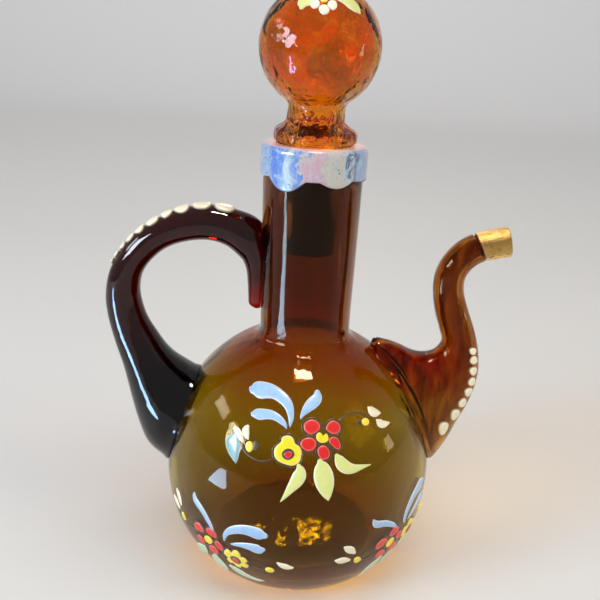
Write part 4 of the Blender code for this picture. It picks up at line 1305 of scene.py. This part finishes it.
class Relief:
    """Gathers domed strokes, petals and dots into one mesh with an edge attribute."""

    def __init__(self):
        self.points, self.faces, self.edge, self.kinds = [], [], [], []

    def add_faces(self, faces, kind):
        self.faces += faces
        self.kinds += [kind] * len(faces)

    def stroke(self, surface, bearing, rows, kind, height, across=8, closed=False):
        """A domed brush stroke through rows of (across, up, half width)."""
        if not closed:
            rows = self.rounded(rows)
        per_row, look, full_half = 4, 0.1, 0.45
        count = (len(rows) if closed else len(rows) - 1) * per_row + (0 if closed else 1)
        start, last = len(self.points), len(rows) - 1
        for k in range(count):
            t = k / per_row
            x, y, half = smooth_at(rows, t, closed)
            ahead = smooth_at(rows, t + look if closed else min(t + look, last), closed)
            behind = smooth_at(rows, (t - look) % len(rows) if closed else max(t - look, 0), closed)
            side = Vector((behind[1] - ahead[1], ahead[0] - behind[0])).normalized()
            half = max(half, 0.01)
            body = min(1.0, half / full_half)
            top, under, rim = [], [], []
            for i in range(across + 1):
                c = math.cos(math.pi * i / across)
                lift = PAINT_GAP + height * body * (1 - abs(c) ** 2.6) ** 0.5
                spot = (x + side.x * half * c, y + side.y * half * c)
                top.append(surface.at(bearing, *spot, lift))
                rim.append(abs(c))
                if 0 < i < across:
                    under.append(surface.at(bearing, *spot, PAINT_GAP / 2))
            self.points += top + under[::-1]
            self.edge += rim + [1.0] * len(under)
        self.add_faces(loft_faces(start, count, 2 * across, closed), kind)

    @staticmethod
    def rounded(rows):
        """The rows with a rounded cap on each end."""
        def cap(end, inner):
            away = Vector((end[0] - inner[0], end[1] - inner[1])).normalized() * end[2]
            return [
                (end[0] + away.x * f, end[1] + away.y * f, end[2] * w)
                for f, w in ((0.55, 0.80), (0.85, 0.48), (1.0, 0.04))
            ]

        return cap(rows[0], rows[1])[::-1] + list(rows) + cap(rows[-1], rows[-2])

    def mound(self, spot, outline, low, levels, crown, kind=0):
        """A closed dome: its outline at each (share, height), set out by spot(across, up, lift)."""
        start, count = len(self.points), len(outline)
        levels = ((1.0, low), *levels)
        for share, level in levels:
            self.points += [spot(x * share, y * share, level) for x, y in outline]
            self.edge += [share] * count
        under = len(self.points)
        last = under - count
        self.points += [spot(0, 0, low), spot(0, 0, crown)]
        self.edge += [1.0, 0.0]
        faces = []
        for k in range(len(levels) - 1):
            faces += ring_faces(start + k * count, start + (k + 1) * count, count)
        faces += [(under, start + (i + 1) % count, start + i) for i in range(count)]
        faces += [(under + 1, last + i, last + (i + 1) % count) for i in range(count)]
        self.add_faces(faces, kind)

    def petal(self, surface, bearing, middle, ring, kind, height, base=PAINT_GAP):
        """A domed blob with the given outline about its middle."""
        steps, (x0, y0) = 4, middle
        outline = [smooth_at(ring, k / steps, True) for k in range(len(ring) * steps)]
        outline = [(x - x0, y - y0) for x, y in outline]
        dome = ((1.0, 0.0), (0.985, 0.45), (0.93, 0.78), (0.80, 0.95), (0.58, 1.0), (0.30, 1.0))
        levels = [(share, base + height * lift) for share, lift in dome]

        def spot(across, up, lift):
            return surface.at(bearing, x0 + across, y0 + up, lift)

        self.mound(spot, outline, base / 2, levels, base + height * 0.99, kind)

    def dot(self, limb, path, place, radius, bearing, height):
        """A raised dot on a limb, slightly out of round."""
        middle, step, foot, sides = t_at(path, place), 0.035, 0.00012, 32
        girth = (limb.point(middle, bearing) - limb.point(middle, bearing + step)).length / step
        outline = []
        for i in range(sides):
            angle = math.tau * i / sides
            wobble = 1 + 0.05 * math.sin(3 * angle + place * 900) + 0.03 * math.sin(2 * angle)
            outline.append(
                (radius * wobble * math.sin(angle), radius * wobble * math.cos(angle))
            )
        dome = (
            (1.0, 0.0), (0.99, 0.30), (0.95, 0.58), (0.86, 0.80), (0.70, 0.94), (0.45, 1.0),
            (0.20, 0.97),
        )
        top = GAP + height
        levels = [(share, foot + (top - foot) * lift) for share, lift in dome]

        def spot(across, up, lift):
            t, turn = t_at(path, place + up), bearing + across / girth
            return limb.point(t, turn) + limb.normal(t, turn) * lift

        self.mound(spot, outline, SKIN_GAP, levels, top * 0.93)

    def outline(self, surface, bearing, middle, ring, kind, height):
        """A thin drawn line just outside a petal's outline."""
        off, half = 0.42, 0.15
        rows = []
        for x, y in ring:
            away = Vector((x - middle[0], y - middle[1]))
            away += away.normalized() * off
            rows.append((middle[0] + away.x, middle[1] + away.y, half))
        self.stroke(surface, bearing, rows, kind, height, across=4, closed=True)

    def build(self, name, materials, sharp=80):
        obj = piece(name, self.points, self.faces, materials, {"edge": self.edge}, sharp)
        for face, kind in zip(obj.data.polygons, self.kinds):
            face.material_index = kind
        return obj


def paints(colours, names):
    """The enamels of these names. Each is deeper in colour where the brush left it thick."""
    deeper = {
        "blue": (0.22, 0.36, 0.74),
        "red": (0.50, 0.006, 0.006),
        "yellow": (0.80, 0.56, 0.010),
        "leaf": (0.58, 0.66, 0.20),
        "mint": (0.36, 0.58, 0.40),
        "pale": (0.18, 0.34, 0.36),
        "cream": (0.76, 0.68, 0.42),
        "line": (0.020, 0.016, 0.012),
    }
    # How strongly each enamel's edges are painted paler, as painted highlight
    edge_highlight = {"red": 0.25, "yellow": 0.3, "line": 0.12}
    made = []
    for name in names:
        label = f"{name} enamel"
        made.append(
            bpy.data.materials.get(label)
            or paint(label, tuple(getattr(colours, name)), deeper[name], edge_highlight.get(name, 1.0))
        )
    return made


def paint_spray(relief, surface, bearing, spray, thickness):
    """Lays one spray: its drawn lines, then strokes and petals, then what is dotted on top."""
    order = list(spray)

    def rows(name, kind):
        return spray.get(name, {}).get(kind, ())

    for name in ("line", "blue", "leaf", "mint", "pale", "cream", "red", "yellow"):
        if name not in order:
            continue
        kind = order.index(name)
        across, stroke, petal = (4, 0.5, 0.6) if name == "line" else (8, 1.0, 1.1)
        for points in rows(name, "strokes"):
            relief.stroke(surface, bearing, points, kind, thickness * stroke, across)
        for blob in rows(name, "petals"):
            relief.petal(surface, bearing, *blob, kind, thickness * petal)
    for name, lift in (("line", 1.05), ("red", 1.45)):
        for blob in rows(name, "centres"):
            base = thickness * lift
            relief.petal(surface, bearing, *blob, order.index(name), thickness * 0.5, base)
    # The red petals and the big yellow flowers get a drawn outline
    for name in ("red", "yellow"):
        for blob in rows(name, "petals"):
            if name == "red" or len(blob[1]) > 14:
                relief.outline(surface, bearing, *blob, order.index("line"), thickness * 0.4)


def swung(spray, about, turn):
    """The same spray, turned by some degrees about a point."""
    c, s = math.cos(math.radians(turn)), math.sin(math.radians(turn))

    def move(x, y, *rest):
        x, y = x - about[0], y - about[1]
        return (about[0] + x * c - y * s, about[1] + x * s + y * c, *rest)

    made = {}
    for name, part in spray.items():
        made[name] = {}
        for kind, rows in part.items():
            if kind == "strokes":
                made[name][kind] = [[move(*point) for point in row] for row in rows]
            else:
                made[name][kind] = [
                    (move(*middle), [move(*point) for point in ring]) for middle, ring in rows
                ]
    return made


def ride(obj, body, slot, *nodes):
    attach(obj, body)
    if nodes:
        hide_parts(*nodes)


def settings():
    scene = bpy.context.scene
    return scene.cruet_sizes, scene.cruet_colours


# Operators


class CRUET_OT_stage(bpy.types.Operator):
    """Set the pale floor, the soft lamps, the sky and the camera"""

    bl_idname = "cruet.stage"
    bl_label = "Stage"

    def execute(self, context):
        colours = settings()[1]
        self.floor(colours)
        for row in LAMPS:
            self.lamp(*row)
        self.sky(context)
        self.camera(context)
        return {"FINISHED"}

    @staticmethod
    def floor(colours):
        """A floor that bends up into a low wall behind."""
        front, depth, bend, wall, half = -1.6, 1.15, 0.45, 1.9, 2.4
        flats, turns, columns = 6, 16, 12
        profile = [(front, 0.0)]
        profile += [(depth * k / flats, 0.0) for k in range(1 - flats, flats + 1)]
        for k in range(1, turns + 1):
            angle = math.pi / 2 * k / turns
            profile.append((depth + bend * math.sin(angle), bend * (1 - math.cos(angle))))
        profile.append((depth + bend, wall))
        points, faces = [], []
        for y, z in profile:
            points += [(half * (2 * c / columns - 1), y, z) for c in range(columns + 1)]
        for k in range(len(profile) - 1):
            for c in range(columns):
                a = k * (columns + 1) + c
                faces.append((a, a + 1, a + columns + 2, a + columns + 1))
        piece("studio_floor", points, faces, [stage_finish(colours)], sharp=80)

    @staticmethod
    def lamp(name, at, size, power, colour, passed_by, turn):
        light = bpy.data.lights.new(name, "AREA")
        light.shape = "RECTANGLE"
        light.size, light.size_y = size
        light.energy = power
        light.color = colour
        obj = placed(name, light)
        obj.location = at
        if turn:
            obj.rotation_euler = [math.radians(angle) for angle in turn]
        else:
            target = Vector((0, 0, min(at[2], LAMP_TARGET)))
            obj.rotation_euler = (target - Vector(at)).to_track_quat("-Z", "Y").to_euler()
        for ray in passed_by:
            setattr(obj, "visible_" + ray, False)

    @staticmethod
    def sky(context):
        world = bpy.data.worlds.new("studio")
        context.scene.world = world
        bench = Bench(world)
        sky = bench.node("Background", inputs={"Color": (0.42, 0.42, 0.43, 1.0), "Strength": 1.0})
        bench.node("OutputWorld", inputs={"Surface": sky})

    @staticmethod
    def camera(context):
        """The photograph's own viewpoint: 0.2 m in front, 20 degrees down and turned a little."""
        place, pitch, roll, yaw = (-0.002566, -0.20154, 0.154095), 0.348, 0.053, 0.004
        lens = bpy.data.cameras.new("camera")
        lens.lens = 44.41
        lens.sensor_width = 36.0
        lens.clip_start = 0.004
        camera = placed("camera", lens)
        right = Vector((math.cos(yaw), -math.sin(yaw), 0))
        level = math.cos(pitch)
        ahead = Vector((math.sin(yaw) * level, math.cos(yaw) * level, -math.sin(pitch)))
        up = right.cross(ahead)
        across = right * math.cos(roll) + up * math.sin(roll)
        above = up * math.cos(roll) - right * math.sin(roll)
        turn = Matrix((across, above, -ahead)).transposed().to_4x4()
        camera.matrix_world = Matrix.Translation(place) @ turn
        context.scene.camera = camera
        context.scene.view_settings.view_transform = "Standard"


class CRUET_OT_bottle(bpy.types.Operator):
    """Blow the bulb and the neck, with the pour hole under the spout"""

    bl_idname = "cruet.bottle"
    bl_label = "Bottle"

    def execute(self, context):
        sizes, colours = settings()
        form = Form(sizes, FINE_STEPS)
        lumps, unevenness = 1.3, 0.00007

        def ripple(radius, height, angle):
            if radius < NECK_TOP_RADIUS + NECK_FILLET:
                return 0.0
            spot = Vector((math.cos(angle), math.sin(angle), height / sizes.bulb_radius)) * lumps
            return -unevenness * (1 + noise.noise(spot))

        points, faces = turned(form.outside() + form.inside(), sizes.glass_segments, ripple)
        bottle = piece("bottle_glass", points, faces, [bottle_glass(colours)])
        self.cut_hole(context, bottle, spout_limb(sizes))
        ride(bottle, "cruet", "amber_glass", "bottle")
        return {"FINISHED"}

    @staticmethod
    def cut_hole(context, bottle, spout):
        """The pour hole runs along the spout's root."""
        root, mouth = smooth_at(spout.stations, 1), smooth_at(spout.stations, 2)
        toward = Vector((mouth[0] - root[0], 0, mouth[1] - root[1])).normalized()
        turn = toward.to_track_quat("Z", "Y").to_matrix().to_4x4()
        shape = bmesh.new()
        bmesh.ops.create_cone(
            shape,
            cap_ends=True,
            segments=64,
            radius1=POUR_HOLE_RADIUS,
            radius2=POUR_HOLE_RADIUS,
            depth=SPOUT_ROOT_HEIGHT,
            matrix=Matrix.Translation((root[0], 0, root[1])) @ turn,
        )
        mesh = bpy.data.meshes.new("pour_hole_cutter")
        shape.to_mesh(mesh)
        shape.free()
        cutter = placed("pour_hole_cutter", mesh)
        hole = bottle.modifiers.new("pour hole", "BOOLEAN")
        hole.operation, hole.solver, hole.object = "DIFFERENCE", "EXACT", cutter
        evaluated = bottle.evaluated_get(context.evaluated_depsgraph_get())
        opened = bpy.data.meshes.new_from_object(evaluated)
        bottle.modifiers.clear()
        bottle.data = opened
        bpy.data.objects.remove(cutter)


class CRUET_OT_spout(bpy.types.Operator):
    """Draw the hollow spout from its trumpet foot to its lip"""

    bl_idname = "cruet.spout"
    bl_label = "Spout"

    def execute(self, context):
        sizes, colours = settings()
        form, limb = Form(sizes, FINE_STEPS), spout_limb(sizes)
        count, tube_steps, tip_steps, bore_steps = 56, 80, 12, 90
        seat = GILDING_THICKNESS + GAP
        lip = limb.from_end(seat)
        step_foot = limb.from_end(GILDING_LENGTH + 2 * GAP)
        step_top = limb.from_end(GILDING_LENGTH + GAP)
        outer = limb.root_rings(form, count, 0.0, sizes.join_flare)
        outer += limb.rings(JOIN_STATION, step_foot, tube_steps, count)[1:]
        outer += limb.rings(step_top, lip, tip_steps, count, seat)
        wall = seat + sizes.spout_wall
        inner = limb.root_rings(form, count, wall, -sizes.join_flare / 2)
        inner += limb.rings(JOIN_STATION, lip, bore_steps, count, wall)[1:]
        points, faces = lofted(outer + inner[::-1], loop=True)
        spout = piece("spout_glass", points, faces, [spout_glass(colours)], sharp=60)
        ride(spout, "cruet", "brown_glass", "spout")
        return {"FINISHED"}


class CRUET_OT_gilding(bpy.types.Operator):
    """Brush the gold over the spout's lip"""

    bl_idname = "cruet.gilding"
    bl_label = "Gilding"

    def execute(self, context):
        sizes, colours = settings()
        limb, count, steps, turns = spout_limb(sizes), 56, 24, 8
        sleeve, lip = limb.from_end(GILDING_LENGTH), limb.from_end(GILDING_THICKNESS)
        bore = GILDING_THICKNESS + GAP + sizes.spout_wall
        rings = limb.rings(sleeve, lip, steps, count)
        along = [k / steps for k in range(steps + 1)]
        for k in range(1, turns + 1):
            turn = math.pi * k / turns
            inset = bore / 2 * (1 - math.cos(turn))
            rings.append(limb.ring(lip + (limb.end - lip) * math.sin(turn), count, inset))
            along.append(1.0)
        back = limb.from_end(GILDING_THICKNESS * 3)
        rings += [limb.ring(back, count, inset) for inset in (bore, GILDING_THICKNESS)]
        rings += limb.rings(back, sleeve, 4, count, GILDING_THICKNESS)[1:]
        along += [1.0, 1.0, 0.75, 0.5, 0.25, 0.0]
        points, faces = lofted(rings, loop=True)
        values = {
            "along": [a for a in along for _ in range(count)],
            "around": [abs((2 * i / count + 1) % 2 - 1) for _ in rings for i in range(count)],
        }
        gilding = piece("spout_gold", points, faces, [gilding_finish(colours)], values, sharp=60)
        ride(gilding, "cruet", "gilding", "spout_gilding")
        return {"FINISHED"}


class CRUET_OT_handle(bpy.types.Operator):
    """Draw the solid handle from its flared root to the tail on the neck"""

    bl_idname = "cruet.handle"
    bl_label = "Handle"

    def execute(self, context):
        sizes, colours = settings()
        form, limb = Form(sizes, FINE_STEPS), handle_limb(sizes)
        count, free_steps = 48, 130
        root = limb.root_rings(form, count, 0.0, sizes.join_flare)
        middle = sum(root[0], Vector()) / count
        under = [
            [form.onto_skin(middle.lerp(p, share)) for p in root[0]]
            for share in (0.12, 0.35, 0.6, 0.82)
        ]
        free = limb.rings(JOIN_STATION, limb.end, free_steps, count)[1:]
        for ring in free:
            for i, p in enumerate(ring):
                away, least = math.hypot(p.x, p.y), form.radius(p.z) + TAIL_GAP
                if away < least:
                    ring[i] = Vector((p.x * least / away, p.y * least / away, p.z))
        points, faces = lofted(under + root + free)
        handle = piece("handle_glass", points, faces, [handle_glass(colours)], sharp=60)
        ride(handle, "cruet", "dark_glass", "handle")
        return {"FINISHED"}


class CRUET_OT_rim_enamel(bpy.types.Operator):
    """Run the marbled enamel over the rim and down the neck in drips"""

    bl_idname = "cruet.rim_enamel"
    bl_label = "Rim Enamel"

    def execute(self, context):
        sizes, colours = settings()
        count, top = 240, sizes.rim_height
        rings = [self.section(math.tau * i / count, top) for i in range(count)]
        points, faces = lofted(rings, loop=True)
        coat = piece("rim_enamel_coat", points, faces, [rim_finish(colours)], sharp=70)
        ride(coat, "cruet", "marbled_enamel", "rim_enamel")
        return {"FINISHED"}

    @staticmethod
    def section(angle, top):
        """The coat cut through at one angle: swollen in the drips and rolled over the rim."""
        edge = coat_edge(math.degrees(angle), top)
        coat_top = top + GAP + ENAMEL_THICKNESS
        inner, outer = NECK_TOP_RADIUS + 0.00006, NECK_TOP_RADIUS + GAP + ENAMEL_THICKNESS
        hole = NECK_TOP_RADIUS - RIM_THICKNESS + COAT_HOLE_SETBACK
        unevenness, lumps, fullest_bead = 0.00012, 3, 0.00010
        spot = Vector((math.cos(angle), math.sin(angle), 0)) * lumps
        face = outer + unevenness * (noise.noise(spot) - 1)
        bead = fullest_bead * (top - COAT_DEPTH - edge) / DRIP_RUN
        nose, shadow, lip, plain_end = 0.0009, 0.00008, 0.0003, 0.0030
        outline = [(inner, edge + nose / 2), (inner + shadow, edge + 0.00012)]
        tip = (face + bead, edge + nose)
        outline += bezier((inner + 0.0002, edge), (face + bead, edge), tip, 6)
        rise = coat_top - edge - plain_end
        outline += [(face + bead * (1 - f), tip[1] + rise * f) for f in (0.12, 0.25, 0.45, 0.7)]
        start = (face, coat_top - 1.7 * COAT_EDGE_ROUND)
        end = (outer - 1.6 * COAT_EDGE_ROUND, coat_top)
        outline += bezier(start, (face, coat_top), end, 7)
        outline += bezier((hole + lip, coat_top), (hole, coat_top), (hole, coat_top - lip), 4)
        outline += [(hole, top + shadow), (inner, top + shadow)]
        return [Vector((r * math.cos(angle), r * math.sin(angle), z)) for r, z in outline]


class CRUET_OT_stopper(bpy.types.Operator):
    """Blow the hollow stopper with its ball, wrinkled skirt and open plug"""

    bl_idname = "cruet.stopper"
    bl_label = "Stopper"

    def execute(self, context):
        sizes, colours = settings()
        profile, middle = stopper_outline(sizes)
        seat = sizes.rim_height + 2 * GAP + ENAMEL_THICKNESS
        low, high = seat + 0.0012, seat + FLANGE_HEIGHT + STEM_LENGTH / 2
        around, upward, finer, wrinkle, crease = 3.4, 300, 2.6, 0.00048, 0.00020

        def ripple(radius, height, angle):
            if not low < height < high or radius < STEM_RADIUS - 0.0004:
                return 0.0
            fade = math.sin(math.pi * (height - low) / (high - low))
            spot = (math.cos(angle) * around, math.sin(angle) * around, height * upward)
            spot = Vector(spot)
            return fade * (wrinkle * noise.noise(spot) + crease * noise.noise(spot * finer))

        points, faces = turned(profile, sizes.glass_segments, ripple)
        stopper = piece("stopper_glass", points, faces, [stopper_glass(colours)], sharp=60)
        ride(stopper, "stopper", "honey_glass", "stopper")
        relief, crown = Relief(), Crown(middle, sizes.ball_radius, CROWN_LEAN)
        paint_spray(relief, crown, CROWN_BEARING, CROWN_SPRAY, sizes.relief)
        petals = relief.build("stopper_petals", paints(colours, CROWN_SPRAY))
        ride(petals, "stopper", "cream_enamel")
        return {"FINISHED"}


class CRUET_OT_dots(bpy.types.Operator):
    """Set the rows of raised enamel dots on the handle and the spout"""

    bl_idname = "cruet.dots"
    bl_label = "Dots"

    def execute(self, context):
        sizes, colours = settings()
        finish, form = dot_finish(colours), Form(sizes, COARSE_STEPS)
        rows = (
            ("handle_dot", handle_limb(sizes), True, HANDLE_DOT_REACH, HANDLE_DOTS),
            ("spout_dot", spout_limb(sizes), False, SPOUT_DOT_REACH, SPOUT_DOTS),
        )
        for prefix, limb, from_tail, reach, dots in rows:
            bearing = math.radians(sum(dot[2] for dot in dots) / len(dots))
            path = dot_path(limb, form, bearing, from_tail)
            relief = Relief()
            for place, radius, turn in dots:
                turn = math.radians(turn)
                relief.dot(limb, path, place * reach, radius * reach, turn, sizes.dot_height)
            nodes = [f"{prefix}_{i + 1:02d}" for i in range(len(dots))]
            row = relief.build(prefix + "s_enamel", [finish], sharp=75)
            ride(row, "cruet", "cream_enamel", *nodes)
        return {"FINISHED"}


class CRUET_OT_sprays(bpy.types.Operator):
    """Paint the flower sprays on the bulb"""

    bl_idname = "cruet.sprays"
    bl_label = "Sprays"

    def execute(self, context):
        sizes, colours = settings()
        skin = Skin(Form(sizes, FINE_STEPS).skin, BELLY_HEIGHT)
        rows = [("high_spray", HIGH_SPRAY, HIGH_BEARING)]
        for i, (bearing, turn) in enumerate(zip(LOW_BEARINGS, LOW_TURNS)):
            rows.append((f"low_spray_{i + 1}", swung(LOW_SPRAY, LOW_FLOWER, turn), bearing))
        for name, spray, bearing in rows:
            relief = Relief()
            paint_spray(relief, skin, bearing, spray, sizes.relief)
            ride(relief.build(name, paints(colours, spray)), "cruet", "cream_enamel")
        return {"FINISHED"}


class CRUET_PT_cruet(bpy.types.Panel):
    """Lists the cruet's pieces, sizes and colours"""

    bl_label = "Amber Cruet"
    bl_space_type = "VIEW_3D"
    bl_region_type = "UI"
    bl_category = "Cruet"

    def draw(self, context):
        layout = self.layout
        for operator in OPERATORS:
            layout.operator(operator.bl_idname)
        for group in settings():
            box = layout.box()
            for name in group.__annotations__:
                box.prop(group, name)


OPERATORS = (
    CRUET_OT_stage,
    CRUET_OT_bottle,
    CRUET_OT_spout,
    CRUET_OT_gilding,
    CRUET_OT_handle,
    CRUET_OT_rim_enamel,
    CRUET_OT_stopper,
    CRUET_OT_dots,
    CRUET_OT_sprays,
)
CLASSES = (CruetSizes, CruetColours, *OPERATORS, CRUET_PT_cruet)


def register():
    for cls in CLASSES:
        bpy.utils.register_class(cls)
    bpy.types.Scene.cruet_sizes = PointerProperty(type=CruetSizes)
    bpy.types.Scene.cruet_colours = PointerProperty(type=CruetColours)


def unregister():
    del bpy.types.Scene.cruet_colours
    del bpy.types.Scene.cruet_sizes
    for cls in reversed(CLASSES):
        bpy.utils.unregister_class(cls)


def main():
    register()
    bpy.ops.cruet.stage()
    bpy.ops.cruet.bottle()
    bpy.ops.cruet.spout()
    bpy.ops.cruet.gilding()
    bpy.ops.cruet.handle()
    bpy.ops.cruet.rim_enamel()
    bpy.ops.cruet.stopper()
    bpy.ops.cruet.dots()
    bpy.ops.cruet.sprays()


if __name__ == "__main__":
    main()
